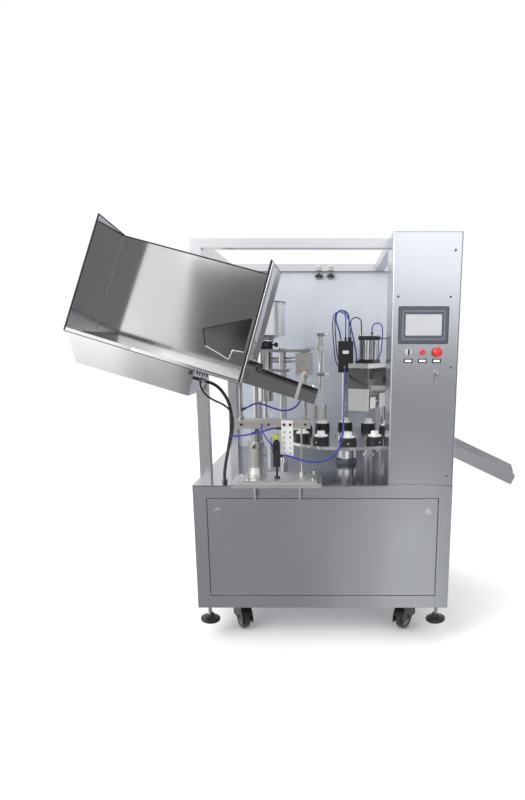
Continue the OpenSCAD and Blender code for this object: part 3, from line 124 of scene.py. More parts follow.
def repeated(shape, places):
    """One shape set down at many places: every place adds its own offset to all the points."""
    points, faces = shape
    places = np.asarray(places, dtype=float)
    many = (points[None] + places[:, None]).reshape(-1, 3)
    shifted = [[i + k * len(points) for i in face] for k in range(len(places)) for face in faces]
    return many, shifted


def together(*shapes):
    """Several shapes as one list of points and faces."""
    points, faces, count = [], [], 0
    for p, f in shapes:
        points.append(p)
        faces += [[i + count for i in face] for face in f]
        count += len(p)
    return np.concatenate(points), faces


def add_piece(name, shape, finish, body, soft_angle=35.0):
    """Makes the mesh, turns its faces outward, smooths edges flatter than the angle and sets it on a body."""
    points, faces = shape
    mesh = bpy.data.meshes.new(name)
    mesh.from_pydata(np.asarray(points).tolist(), [], faces)
    tool = bmesh.new()
    tool.from_mesh(mesh)
    bmesh.ops.recalc_face_normals(tool, faces=tool.faces)
    tool.to_mesh(mesh)
    tool.free()
    mesh.shade_smooth()
    mesh.set_sharp_from_angle(angle=math.radians(soft_angle))
    mesh.materials.append(finish)
    piece = bpy.data.objects.new(name, mesh)
    bpy.context.scene.collection.objects.link(piece)
    if body:
        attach(piece, body)
    return piece


# %% [markdown]
# ## Turned, swept and cut shapes
# Screws, knobs and rings come off a lathe, hoses are bent tube, and cards and caps are cut from plate, so
# three kinds of shape are enough. Blender could spin, bevel or extrude a curve for each. A formula on a
# grid is used instead, because it sets every point where the drawing's millimetres say and gives the same
# mesh each time.

# %% Turned and swept shapes
def aimed(points, origin, axis):
    """Points drawn round +Z, turned so that +Z lies along the axis, and set down at the origin given."""
    z = np.asarray(axis, dtype=float) / np.linalg.norm(axis)
    upright = np.array([0.0, 0.0, 1.0]) if abs(z[2]) < 0.9 else np.array([0.0, 1.0, 0.0])
    x = np.cross(upright, z)
    x /= np.linalg.norm(x)
    frame_axes = np.stack([x, np.cross(z, x), z])
    return points @ frame_axes + np.asarray(origin, dtype=float)


def turned(profile, origin, axis=(0, 0, 1), sides=32, closed=False):
    """A profile of (radius, height) pairs in millimetres, turned once round the axis."""
    radius, height = np.asarray(profile, dtype=float).T / 1000.0
    angle = np.linspace(0.0, 2 * np.pi, sides, endpoint=False)
    rings = np.stack([radius[:, None] * np.cos(angle), radius[:, None] * np.sin(angle),
                      np.broadcast_to(height[:, None], (len(radius), sides))], axis=-1)
    points, faces = looped(rings) if closed else capped(rings)
    return aimed(points, origin, axis), faces


def swept(path, radius, sides=12):
    """A circle carried along a path, square at each point to the mean of the two directions that meet there.
    Its sideways direction is square to a fixed one: of a few, the one that the path runs along least."""
    path = np.asarray(path, dtype=float)
    steps = np.diff(path, axis=0)
    steps /= np.linalg.norm(steps, axis=1, keepdims=True)
    ahead = np.concatenate([steps[:1], steps[:-1] + steps[1:], steps[-1:]])
    ahead /= np.linalg.norm(ahead, axis=1, keepdims=True)
    tries = np.array([[1, 0, 0], [0, 1, 0], [0, 0, 1], [1, 1, 0], [1, -1, 0], [0, 1, 1], [0, 1, -1],
                      [1, 0, 1], [1, 0, -1], [1, 1, 1], [1, -1, 1], [1, 1, -1], [-1, 1, 1]], dtype=float)
    tries /= np.linalg.norm(tries, axis=1, keepdims=True)
    fixed = tries[np.argmin(np.abs(ahead @ tries.T).max(axis=0))]
    side = np.cross(ahead, fixed)
    side /= np.linalg.norm(side, axis=1, keepdims=True)
    up = np.cross(ahead, side)
    angle = np.linspace(0.0, 2 * np.pi, sides, endpoint=False)
    width = np.broadcast_to(np.asarray(radius, dtype=float), (len(path),))
    rings = path[:, None] + width[:, None, None] * (np.cos(angle)[:, None] * side[:, None]
                                                    + np.sin(angle)[:, None] * up[:, None])
    return capped(rings)


def smooth_route(points, steps=8):
    """A route through given points: each stretch is the cubic whose slopes follow the neighbours."""
    p = np.asarray(points, dtype=float)
    padded = np.concatenate([p[:1], p, p[-1:]])
    a, b, c, d = padded[:-3], padded[1:-2], padded[2:-1], padded[3:]
    t = (np.arange(steps) / steps)[None, :, None]
    a, b, c, d = a[:, None], b[:, None], c[:, None], d[:, None]
    slope, bend, twist = c - a, 2 * a - 5 * b + 4 * c - d, 3 * b - a - 3 * c + d
    curve = 0.5 * (2 * b + slope * t + bend * t ** 2 + twist * t ** 3)
    return np.concatenate([curve.reshape(-1, 3), p[-1:]])


def length_of(path):
    """The sum of the distances between neighbouring points."""
    return float(np.linalg.norm(np.diff(path, axis=0), axis=1).sum())


print("turned and swept shapes ready")

# %% Plates, screws and fittings
CORNER_POINTS = 6


def rounded_outline(width, height, radius):
    """A rectangle's outline with round corners: each corner adds a quarter circle to its own centre."""
    quarter = np.linspace(0.0, np.pi / 2, CORNER_POINTS)
    starts = np.arange(4)[:, None] * np.pi / 2
    angle = starts + quarter[None]
    centre_x = np.array([1, -1, -1, 1])[:, None] * (width / 2 - radius)
    centre_y = np.array([1, 1, -1, -1])[:, None] * (height / 2 - radius)
    outline = np.stack([centre_x + radius * np.cos(angle), centre_y + radius * np.sin(angle)], axis=-1)
    return outline.reshape(-1, 2)


def plate(width, height, radius, thick, origin, axis, chamfer=0.4):
    """A flat plate in millimetres: its outline at the back, at the front edge, and drawn in by a chamfer."""
    levels = [(0.0, 0.0), (0.0, thick - chamfer), (chamfer, thick)]
    rings = np.stack([np.column_stack([rounded_outline(width - 2 * c, height - 2 * c, max(radius - c, 0.1)),
                                       np.full(4 * CORNER_POINTS, z)]) for c, z in levels]) / 1000.0
    points, faces = capped(rings)
    return aimed(points, origin, axis), faces


def ring_plate(width, height, radius, rim, thick, origin, axis):
    """A flat frame in millimetres: outer outline, then inner outline, each at the back and at the front."""
    outer = rounded_outline(width, height, radius)
    inner = rounded_outline(width - 2 * rim, height - 2 * rim, max(radius - rim, 0.1))
    levels = [(outer, 0.0), (outer, thick), (inner, thick), (inner, 0.0)]
    rings = np.stack([np.column_stack([edge, np.full(4 * CORNER_POINTS, z)]) for edge, z in levels]) / 1000.0
    points, faces = looped(rings)
    return aimed(points, origin, axis), faces


def socket_screw(head, tall, origin, axis):
    """A cap screw's head: a turned profile with a rim, a flat and a sunk socket."""
    r = head / 2
    profile = [(r * 0.9, 0), (r, 0.3), (r, tall - 0.6), (r - 0.6, tall), (r * 0.55, tall),
               (r * 0.5, tall * 0.45), (r * 0.1, tall * 0.45)]
    return turned(profile, origin, axis, 16)


def hex_nut(across, tall, origin, axis):
    """A nut: a hexagon with its upper corners drawn in."""
    r = across / 2 / math.cos(math.pi / 6)
    return turned([(r, 0), (r, tall * 0.8), (r * 0.9, tall), (r * 0.45, tall)], origin, axis, 6)


def elbow_fitting(bore, origin, axis):
    """A push-in hose fitting: a nut, a neck and a collar with a release ring."""
    r = bore / 2
    return turned([(r + 3, 0), (r + 3, 5), (r + 1.5, 6), (r + 1.5, 9), (r + 3.4, 10), (r + 3.4, 18),
                   (r + 2.6, 19), (r + 2.6, 21), (r + 0.5, 21)], origin, axis, 20)


print("surface kit ready")

# %% [markdown]
# ## Shader expressions
# A finish is easier to read as a sum than as a picture of wires. The class below wraps a socket, so that
# a plus or a times sign adds the Math node. Everything that is not arithmetic comes from one method,
# which makes a node, sets its settings and fills its sockets.

# %% Values
class Value:
    """A number or colour on its way through a finish. Each sign adds the Math node that does the same."""

    def __init__(self, finish, socket):
        self.finish, self.socket = finish, socket

    def _math(self, operation, left, right):
        """One Math node that joins two values."""
        return self.finish.node("ShaderNodeMath", {"operation": operation}, {0: left, 1: right})

    def __add__(self, other):
        return self._math("ADD", self, other)

    def __sub__(self, other):
        return self._math("SUBTRACT", self, other)

    def __rsub__(self, other):
        return self._math("SUBTRACT", other, self)

    def __mul__(self, other):
        return self._math("MULTIPLY", self, other)

    def __gt__(self, other):
        return self._math("GREATER_THAN", self, other)

    def __lt__(self, other):
        return self._math("LESS_THAN", self, other)

    __radd__, __rmul__ = __add__, __mul__


print("value kit ready")

# %% Finishes
class Finish:
    """One material: its surface shader, and the nodes that feed it."""

    def __init__(self, name, **constants):
        self.material = bpy.data.materials.new(name)
        self.material.use_nodes = True
        self.tree = self.material.node_tree
        self.shader = self.tree.nodes["Principled BSDF"]
        self.place = None
        for socket, constant in constants.items():
            self.feed(socket.replace("_", " ").title().replace("Ior", "IOR"), constant)

    def feed(self, socket, value):
        """Gives a shader socket a constant or a value."""
        if isinstance(value, Value):
            self.tree.links.new(value.socket, self.shader.inputs[socket])
        else:
            self.shader.inputs[socket].default_value = value

    def node(self, kind, settings=None, inputs=None, output=0):
        """Adds a node, sets its settings first and then its sockets, and hands back one output."""
        made = self.tree.nodes.new(kind)
        for key, setting in (settings or {}).items():
            setattr(made, key, setting)
        for key, value in (inputs or {}).items():
            if isinstance(value, Value):
                self.tree.links.new(value.socket, made.inputs[key])
            else:
                made.inputs[key].default_value = value
        return Value(self, made.outputs[output])

    def coords(self, scale=(1, 1, 1), turn=(0, 0, 0)):
        """The piece's own coordinates in metres, turned in degrees and then stretched."""
        if self.place is None:
            self.place = self.node("ShaderNodeTexCoord", output=3)
        angles = tuple(math.radians(a) for a in turn)
        place = self.place
        if any(turn):
            place = self.node("ShaderNodeMapping", {}, {"Vector": place, "Rotation": angles})
        return self.node("ShaderNodeMapping", {}, {"Vector": place, "Scale": scale})

    def axes(self):
        """The coordinates as three separate values."""
        if self.place is None:
            self.place = self.node("ShaderNodeTexCoord", output=3)
        split = self.node("ShaderNodeSeparateXYZ", {}, {0: self.place})
        return [Value(self, socket) for socket in split.socket.node.outputs]

    def noise(self, scale, turn=(0, 0, 0), detail=2.0):
        """Soft noise between 0 and 1, with its own stretch along each axis."""
        return self.node("ShaderNodeTexNoise", {}, {"Vector": self.coords(scale, turn), "Scale": 1.0,
                                                    "Detail": detail, "Roughness": 0.55})

    def mix(self, factor, first, second):
        """The first colour where the factor is 0, the second where it is 1."""
        return self.node("ShaderNodeMix", {"data_type": "RGBA"}, {0: factor, 6: first, 7: second}, 2)

    def ramp(self, value, low, high):
        """Runs smoothly from 0 to 1 as the value goes from low to high."""
        return self.node("ShaderNodeMapRange", {"interpolation_type": "SMOOTHSTEP"},
                         {"Value": value, "From Min": low, "From Max": high})

    def relief(self, height, soft_edge=0.0015):
        """Feeds the normal: edges look slightly rounded, and the height, in metres, stands out of it."""
        edge = self.node("ShaderNodeBevel", {"samples": 3}, {"Radius": soft_edge})
        self.feed("Normal", self.node("ShaderNodeBump", {}, {
            "Distance": 1.0, "Strength": 1.0, "Height": height, "Normal": edge}))


def colour(r, g, b):
    """A tone as the shader sockets take it: red, green, blue and full cover."""
    return (r, g, b, 1.0)


def between(value, low, high):
    """1 where the value lies between the two limits."""
    return (value > low) * (value < high)


print("finish kit ready")

# %% [markdown]
# ## Brushed and polished steel
# Most of this machine is stainless sheet. Brushed sheet has fine lines along one direction, faint smudges
# and a little waviness from the folding, which is what bends the reflections into bands. A picture of
# steel would show its edges and repeats, so noise is used: stretched along the grain for the lines, and
# slow across it for the waviness.

# %% Sheet finishes
LINE_DEPTH = 0.000006


def brushed_sheet(name, tone, roughness, grain, wave, wave_height, turn=(0, 0, 0), patches=()):
    """Sheet steel: base tone plus lines plus smudges, roughness from the same lines, waviness in the normal.
    A patch is a mask of the turned coordinates and the tone that shows where the mask is 1, used for painted
    light and shade."""
    f = Finish(name, metallic=1.0)
    lines = f.noise(grain, turn, 3.0)
    smudge = f.noise((3.1, 3.1, 3.1), turn, 3.0)
    light = tuple(min(1.0, c * 1.06) for c in tone)
    dark = tuple(c * 0.92 for c in tone)
    shade = f.mix(lines * 0.6 + smudge * 0.4, colour(*dark), colour(*light))
    for mask, patch_tone in patches:
        split = f.node("ShaderNodeSeparateXYZ", {}, {0: f.coords(turn=turn)})
        where = mask(f, *[Value(f, socket) for socket in split.socket.node.outputs])
        shade = f.mix(where, shade, colour(*patch_tone))
    f.feed("Base Color", shade)
    f.feed("Roughness", (lines - 0.5) * 0.06 + (smudge - 0.5) * 0.08 + roughness)
    waves = f.noise(wave, turn, 1.0)
    f.relief(waves * wave_height + lines * LINE_DEPTH)
    return f.material


STEEL = (0.585, 0.605, 0.65)
ACROSS_GRAIN, ALONG_GRAIN = 1400.0, 9.0
LEVEL_GRAIN = (ALONG_GRAIN, ACROSS_GRAIN, ACROSS_GRAIN)
UPRIGHT_GRAIN = (ACROSS_GRAIN, ACROSS_GRAIN, ALONG_GRAIN)
sheet_level = brushed_sheet("sheet_level_grain", STEEL, 0.25, LEVEL_GRAIN, (2.6, 0.4, 0.4), 0.004)
sheet_upright = brushed_sheet("sheet_upright_grain", STEEL, 0.25, UPRIGHT_GRAIN, (3.0, 3.0, 0.5), 0.002)
deck_sheet = brushed_sheet("deck_sheet", (0.40, 0.405, 0.43), 0.13, LEVEL_GRAIN, (2.0, 2.0, 2.0), 0.001)
SLOPE_TURN = (0, -17, 0)
BIN_LOOK = ((0.62, 0.62, 0.635), 0.10, LEVEL_GRAIN, (2.6, 0.5, 0.5), 0.0035, SLOPE_TURN)
bin_sheet = brushed_sheet("bin_sheet", *BIN_LOOK)
# Where the lower right corner of the bin comes to lie once the coordinates are turned by the slope.
BIN_ALONG, BIN_SQUARE = -0.6834, 1.0825
HOOD_SHEET, LIP_BACK = (-0.3865, -0.3835), -0.631


def hood_painted_shade(f, u, y, v):
    """Painted shade on the hood's front sheet, darker towards the end plate and the top."""
    face = between(y, *HOOD_SHEET) * between(u, BIN_ALONG - 0.26, BIN_ALONG - 0.004) * (v < BIN_SQUARE + 0.28)
    to_end_plate = f.ramp(u, BIN_ALONG - 0.17, BIN_ALONG - 0.06)
    to_top = f.ramp(v, BIN_SQUARE + 0.10, BIN_SQUARE + 0.20)
    return face * (to_end_plate * 0.45 + to_top * 0.45)


def lip_painted_highlight(f, u, y, v):
    """A painted highlight on the front lip's right part, where it catches the light."""
    return (y < LIP_BACK) * (u > BIN_ALONG - 0.45)


LIP_PAINTED_HIGHLIGHT_TONE, HOOD_PAINTED_SHADE_TONE = (0.96, 0.95, 0.93), (0.10, 0.095, 0.09)
# bin_inside paints a highlight on the front lip and shade on the hood's front sheet.
bin_inside = brushed_sheet("bin_inside", *BIN_LOOK, [(lip_painted_highlight, LIP_PAINTED_HIGHLIGHT_TONE), (hood_painted_shade, HOOD_PAINTED_SHADE_TONE)])
guard_tube = brushed_sheet("guard_tube", (0.60, 0.61, 0.63), 0.30, (ALONG_GRAIN, ACROSS_GRAIN, ALONG_GRAIN),
                           (2.0, 2.0, 2.0), 0.0005)
chute_sheet = brushed_sheet("chute_sheet", (0.62, 0.635, 0.66), 0.32, LEVEL_GRAIN, (3.0, 1.0, 1.0), 0.002,
                            (0, -25.5, 0))
sheets = (sheet_level, sheet_upright, deck_sheet, bin_sheet, bin_inside, guard_tube, chute_sheet)
print("sheet finishes:", len(sheets))


# %% Turned and ground metal
def turned_metal(name, tone, roughness, rings=(40.0, 40.0, 700.0), depth=0.00005):
    """Turned or ground metal: fine rings along the axis, faint smudges in tone and roughness."""
    f = Finish(name, metallic=1.0)
    marks = f.noise(rings, detail=2.0)
    smudge = f.noise((9.0, 9.0, 9.0), detail=3.0)
    f.feed("Base Color", f.mix(smudge, colour(*[c * 0.88 for c in tone]), colour(*tone)))
    f.feed("Roughness", marks * 0.10 + smudge * 0.08 + roughness)
    f.relief(marks * depth)
    return f.material


bright_steel = turned_metal("bright_steel", (0.72, 0.72, 0.73), 0.10, depth=0.000008)
milled_alloy = turned_metal("milled_alloy", (0.70, 0.70, 0.70), 0.26, (500.0, 30.0, 500.0))
edge_steel = turned_metal("edge_steel", (0.75, 0.75, 0.76), 0.18, (20.0, 20.0, 20.0), 0.00001)
satin_steel = turned_metal("satin_steel", (0.56, 0.545, 0.52), 0.30)
hopper_steel = turned_metal("hopper_steel", (0.86, 0.87, 0.89), 0.30, depth=0.00001)
brass = turned_metal("brass", (0.78, 0.56, 0.22), 0.16)
turned_finishes = (bright_steel, milled_alloy, edge_steel, satin_steel, hopper_steel, brass)
print("turned and ground finishes:", len(turned_finishes))

# %% [markdown]
# ## Plastics, paint and rubber
# Moulded and painted parts are not one flat colour. They carry a fine grain, small changes of tone and
# duller patches, all from noise on the piece's own coordinates.

# %% Moulded, painted and rubber finishes
def moulded(name, tone, roughness, grain=600.0, depth=0.00004, shine=0.0, mirror=0.5):
    """Plastic, paint or rubber: slow changes of tone, fine grain in the normal, duller where lighter."""
    f = Finish(name, coat_weight=shine, specular_ior_level=mirror)
    cloud = f.noise((7.0, 7.0, 7.0), detail=3.0)
    speck = f.noise((grain, grain, grain), detail=2.0)
    light = [min(1.0, c * 1.12 + 0.004) for c in tone]
    f.feed("Base Color", f.mix(cloud * 0.7 + speck * 0.3, colour(*[c * 0.90 for c in tone]), colour(*light)))
    f.feed("Roughness", cloud * 0.10 + speck * 0.08 + roughness)
    f.relief(speck * depth, 0.001)
    return f.material


black_plastic = moulded("black_plastic", (0.012, 0.012, 0.014), 0.32)
black_paint = moulded("black_paint", (0.009, 0.009, 0.011), 0.34, 250.0, 0.00008, mirror=0.25)
grey_paint = moulded("grey_paint", (0.16, 0.20, 0.24), 0.36, 200.0, 0.0001, 0.2)
white_plastic = moulded("white_plastic", (0.86, 0.86, 0.84), 0.34)
red_plastic = moulded("red_plastic", (0.62, 0.016, 0.016), 0.22, 400.0, 0.00003, 0.4)
edge_rubber = moulded("edge_rubber", (0.014, 0.014, 0.015), 0.42, 500.0, 0.0001)
hose_blue = moulded("hose_blue", (0.006, 0.022, 0.27), 0.26, 300.0, 0.00002, 0.2)
cable_sheath = moulded("cable_sheath", (0.012, 0.012, 0.013), 0.40, 400.0, 0.0001)
bezel_grey = moulded("bezel_grey", (0.065, 0.075, 0.095), 0.36, 700.0, 0.00005)
# A lighter grey that paints a highlight along the bezel's step edge.
bezel_edge_highlight = moulded("bezel_edge_highlight", (0.17, 0.185, 0.23), 0.36, 700.0, 0.00005)
satin_black = moulded("satin_black", (0.06, 0.06, 0.065), 0.40)
print("moulded finishes ready")

# %% [markdown]
# ## Solids that carry several finishes
# Some solids of the drawing are several materials in life: a cylinder with black end caps, a foot with a
# bright stem. Their faces could be picked by hand. A mask made from the coordinates says where the next
# finish begins, because it stays right when the mesh changes, and it feeds colour, metal and roughness
# together.

# %% Zoned finishes
def zoned(name, ground, zones, depth=0.00005):
    """A ground finish and masked zones on it: a finish is (tone, metal, roughness), a mask takes x, y, z."""
    f = Finish(name)
    x, y, z = f.axes()
    smudge = f.noise((12.0, 12.0, 12.0), detail=3.0)
    speck = f.noise((450.0, 450.0, 450.0), detail=1.0)
    tone, metal, rough = colour(*ground[0]), ground[1], ground[2]
    for mask, (zone_tone, zone_metal, zone_rough) in zones:
        where = mask(f, x, y, z)
        tone = f.mix(where, tone, colour(*zone_tone))
        metal = where * zone_metal + (1.0 - where) * metal
        rough = where * zone_rough + (1.0 - where) * rough
    shade = f.mix(smudge, colour(0.84, 0.84, 0.84), colour(1.0, 1.0, 1.0))
    f.feed("Base Color", f.node("ShaderNodeMix", {"data_type": "RGBA", "blend_type": "MULTIPLY"},
                                {0: 1.0, 6: tone, 7: shade}, 2))
    f.feed("Metallic", metal)
    f.feed("Roughness", rough + (smudge - 0.5) * 0.10)
    f.relief(speck * depth)
    return f.material


def away_from(centre):
    """A value: the distance from a point, in metres."""
    def distance(f):
        return f.node("ShaderNodeVectorMath", {"operation": "DISTANCE"}, {0: f.place, 1: centre}, 1)
    return distance


BRIGHT = ((0.72, 0.72, 0.73), 1.0, 0.14)
ALLOY = ((0.66, 0.66, 0.66), 1.0, 0.30)
DARK = ((0.014, 0.014, 0.016), 0.0, 0.34)

print("zone kit ready")

# %% Where each zone begins
# Each limit is in metres, along the axis that the mask names.
SEAL_COVER, SEAL_CYLINDER_FROM = (1.150, 1.262), 1.2865
SEAL_LOWER_CAP, SEAL_UPPER_CAP = (1.2855, 1.3065), (1.4105, 1.434)
seal_finish = zoned("seal_head_finish", ALLOY, [
    (lambda f, x, y, z: between(z, *SEAL_COVER), ((0.17, 0.17, 0.18), 1.0, 0.26)),
    (lambda f, x, y, z: z > SEAL_CYLINDER_FROM, BRIGHT),
    (lambda f, x, y, z: between(z, *SEAL_LOWER_CAP) + between(z, *SEAL_UPPER_CAP), DARK)])
BOWL_RIGHT, DIAL_FROM = -0.2235, 0.9745
regulator_finish = zoned("regulator_finish", DARK, [
    (lambda f, x, y, z: x < BOWL_RIGHT, ((0.34, 0.36, 0.38), 0.0, 0.22)),
    (lambda f, x, y, z: (x > BOWL_RIGHT) * (z > DIAL_FROM), ((0.34, 0.40, 0.05), 0.0, 0.34))])
CLAMP_BACK, WING_BACK = 0.4677, 0.4545
back_finish = zoned("back_panel_finish", ((0.62, 0.65, 0.72), 0.0, 0.30), [
    (lambda f, x, y, z: y < CLAMP_BACK, ((0.42, 0.43, 0.44), 0.3, 0.34)),
    (lambda f, x, y, z: y < WING_BACK, ((0.02, 0.02, 0.022), 0.0, 0.36))])
FOOT_STEM_FROM = 0.126
foot_finish = zoned("foot_finish", DARK, [
    (lambda f, x, y, z: z > FOOT_STEM_FROM, BRIGHT)])
VALVE_FROM, NOZZLE_LEFT, NOZZLE_HEIGHTS = 1.3625, -0.153, (1.2075, 1.2235)
dosing_finish = zoned("dosing_finish", BRIGHT, [
    (lambda f, x, y, z: z > VALVE_FROM, DARK),
    (lambda f, x, y, z: (x > NOZZLE_LEFT) * (z > NOZZLE_HEIGHTS[1]), ALLOY),
    (lambda f, x, y, z: (x > NOZZLE_LEFT) * between(z, *NOZZLE_HEIGHTS), ((0.78, 0.56, 0.22), 1.0, 0.18))])
BEAM_LOW, BEAM_HIGH, BRACKET_BACK, BRACKET_LOW = 1.0195, 1.0585, -0.4655, 0.88
lift_finish = zoned("lift_finish", ((0.60, 0.585, 0.565), 1.0, 0.36), [
    (lambda f, x, y, z: (z < BEAM_LOW) + (z > BEAM_HIGH), BRIGHT),
    (lambda f, x, y, z: (y < BRACKET_BACK) * (z > BRACKET_LOW), ((0.70, 0.70, 0.70), 0.2, 0.30))])
MOTOR_FAN_RIGHT = -0.1945
motor_finish = zoned("motor_finish", ((0.12, 0.20, 0.27), 0.0, 0.38), [
    (lambda f, x, y, z: x < MOTOR_FAN_RIGHT, DARK)])
DEVICES_BACK, DRIVES_TOP = -0.3175, 1.1
electrics_finish = zoned("electrics_finish", ((0.55, 0.56, 0.58), 0.6, 0.40), [
    (lambda f, x, y, z: y < DEVICES_BACK, ((0.62, 0.62, 0.60), 0.0, 0.42)),
    (lambda f, x, y, z: (y < DEVICES_BACK) * (z < DRIVES_TOP), DARK)])
PRESS_CLAMP, PRESS_TUBE = (1.3575, 1.3805), (1.2545, 1.4255)
press_finish = zoned("press_finish", ((0.64, 0.65, 0.67), 1.0, 0.20), [
    (lambda f, x, y, z: between(z, *PRESS_CLAMP), ALLOY),
    (lambda f, x, y, z: (z < PRESS_TUBE[0]) + (z > PRESS_TUBE[1]), ((0.30, 0.31, 0.32), 1.0, 0.30))])
SELECTOR_HANDLE_BACK = -0.504
selector_finish = zoned("selector_finish", ((0.86, 0.86, 0.86), 0.4, 0.30), [
    (lambda f, x, y, z: y < SELECTOR_HANDLE_BACK, DARK)])
HEATER_TOP, HEATER_FRONT = 1.4065, 0.2205
heater_finish = zoned("heater_finish", DARK, [
    (lambda f, x, y, z: z > HEATER_TOP, BRIGHT),
    (lambda f, x, y, z: y < HEATER_FRONT, BRIGHT)])
HUB_RADIUS = 0.045


def wheel_finish(name, centre):
    """Black tread outside a radius, grey hub inside it."""
    reach = away_from(centre)
    return zoned(name, ((0.022, 0.022, 0.024), 0.0, 0.50), [
        (lambda f, x, y, z: reach(f) < HUB_RADIUS, ((0.20, 0.205, 0.21), 0.0, 0.40))])


wheel_names = ["front_left_wheel", "front_right_wheel", "rear_left_wheel", "rear_right_wheel"]
wheel_middles = {n: tuple(np.mean(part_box(n), axis=0)) for n in wheel_names}
print("zoned finishes ready")

# %% [markdown]
# ## Dressing the solids
# Each solid keeps its shape from the drawing, and only its material slot is filled. The finish could be
# set solid by solid. One list that pairs a finish with everything made of it is easier to change and
# shows what is made of what.

# %% Finish of every solid
finish_groups = [
    (sheet_upright, ["base_posts", "control_column", "column_door"]),
    (sheet_level, ["base_rails", "cabinet_panels", "bottom_plate", "front_door"]),
    (deck_sheet, ["deck_plate"]),
    (guard_tube, ["guard_posts", "guard_rails"]),
    (back_finish, ["back_panel"]),
    (bin_inside, ["magazine_bin"]),
    (bin_sheet, ["magazine_casing", "feed_trough"]),
    (chute_sheet, ["discharge_chute"]),
    (bright_steel, ["pump_stand", "station_posts", "left_lock", "right_lock", "door_key", "rotary_table",
                    "press_rod", "dosing_piston", "heater_nozzle"]),
    (milled_alloy, ["loader_plates", "loading_cup", "tube_gate", "jaw_inner", "jaw_outer"]),
    (satin_steel, ["loader_column"]),
    (lift_finish, ["lift_beam"]),
    (hopper_steel, ["product_hopper"]),
    (dosing_finish, ["dosing_cylinder"]),
    (press_finish, ["press_cylinder"]),
    (heater_finish, ["heater_body"]),
    (seal_finish, ["seal_head"]),
    (regulator_finish, ["air_regulator"]),
    (electrics_finish, ["electrics_plate"]),
    (motor_finish, ["main_motor"]),
    (grey_paint, ["indexer_gearbox"]),
    (black_paint, ["rear_caster_forks", "front_left_fork", "front_right_fork"]),
    (foot_finish, ["front_left_foot", "front_right_foot", "rear_left_foot", "rear_right_foot"]),
    (black_plastic, ["tube_holders"]),
    (white_plastic, ["tube_inserts"]),
    (red_plastic, ["start_button", "emergency_stop"]),
    (selector_finish, ["selector_switch"]),
    (bezel_grey, ["touch_panel"]),
    (hose_blue, ["air_hose", "heater_hose"]),
    (cable_sheath, ["cable_bundle"]),
]
solid_finish = {name: finish for finish, names in finish_groups for name in names}
solid_finish.update({n: wheel_finish(n + "_finish", wheel_middles[n]) for n in wheel_names})
for node_name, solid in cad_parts.items():
    solid.data.materials.clear()
    solid.data.materials.append(solid_finish[node_name])
print("solids dressed:", len(solid_finish))

# %% [markdown]
# ## Hoses and the cable bundle
# An air hose is a fixed length of soft tube. It leaves its port straight, sags under its own weight and
# goes back into the machine. A curve with a round bevel would draw it. A ring carried along the route is
# used instead. The points repeat the drawing's, so the visible tubes lie where the solids are.

# %% Hose and cable routes
air_hose_points = mm(
    [-178, -482, 900], [-150, -482, 899], [-110, -480, 885], [-70, -470, 872], [-30, -455, 866],
    [10, -440, 870], [45, -425, 885], [72, -405, 912], [88, -375, 950], [95, -335, 990],
    [98, -290, 1025], [100, -240, 1055], [102, -180, 1085], [105, -110, 1115], [108, -40, 1145],
    [111, 30, 1172], [113, 95, 1200], [114, 140, 1231], [115, 170, 1251], [115, 192, 1259], [115, 209, 1260])
heater_hose_points = mm(
    [92, 263, 1418], [91, 263, 1433], [87, 263, 1453], [80, 262, 1475], [72, 261, 1498],
    [67, 260, 1520], [67, 258, 1541], [74, 255, 1560], [88, 251, 1571], [104, 246, 1571],
    [119, 240, 1558], [131, 233, 1536], [141, 225, 1508], [149, 217, 1477], [157, 209, 1445],
    [164, 201, 1412], [171, 194, 1378], [176, 188, 1346], [179, 183.5, 1320], [180, 182, 1301])
cable_points = mm(
    [-518.8, -420, 1225.8], [-493, -420, 1217.9], [-466, -421, 1201], [-440, -423, 1170], [-422, -425, 1135],
    [-412, -427, 1095], [-410, -428, 1050], [-415, -429, 1000], [-424, -429, 950], [-434, -428, 900],
    [-443, -426, 860], [-449, -425, 825], [-452, -424, 803], [-452, -424, 783])


def hose(name, points, diameter, finish, slot, body, stiffness="medium", node_name=None):
    """A round tube along a smooth route that goes back into the machine, set on a body; the named solid, if
    any, is hidden.
    """
    route = smooth_route(points)
    tube = add_piece(name, swept(route, diameter / 2, 16), finish, body, 60.0)
    if node_name:
        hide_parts(node_name)
    print(name, "length in metres:", round(length_of(route), 3))
    return tube


def lifted_hose(name, points, diameter, finish, slot, from_body, to_body, node_name=None):
    """A tube set on no body, its place baked into its points. from_body and to_body are not used."""
    tube = hose(name, points, diameter, finish, slot, None, "medium", node_name)
    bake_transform(tube)
    return tube


AIR_HOSE, SMALL_HOSE, CABLE, LEAD = 0.008, 0.006, 0.014, 0.008
BLUE, BLACK = (hose_blue, "hose_blue"), (cable_sheath, "cable_black")
hose("air_hose_tube", air_hose_points, AIR_HOSE, *BLUE, "machine", node_name="air_hose")
hose("heater_hose_tube", heater_hose_points, AIR_HOSE, *BLUE, "machine", node_name="heater_hose")
lifted_hose("cable_tube", cable_points, CABLE, *BLACK, "loader_lift", "machine", "cable_bundle")

# %% [markdown]
# ## More small hoses
# The photograph shows more thin hoses than the drawing keeps as solids: two on the loader's beam, one
# under the trough, a sheaf of loops over the heater and two at the sealing cylinder, besides a second
# black lead beside the cable bundle. Each starts in a push-in fitting and runs back into the machine.

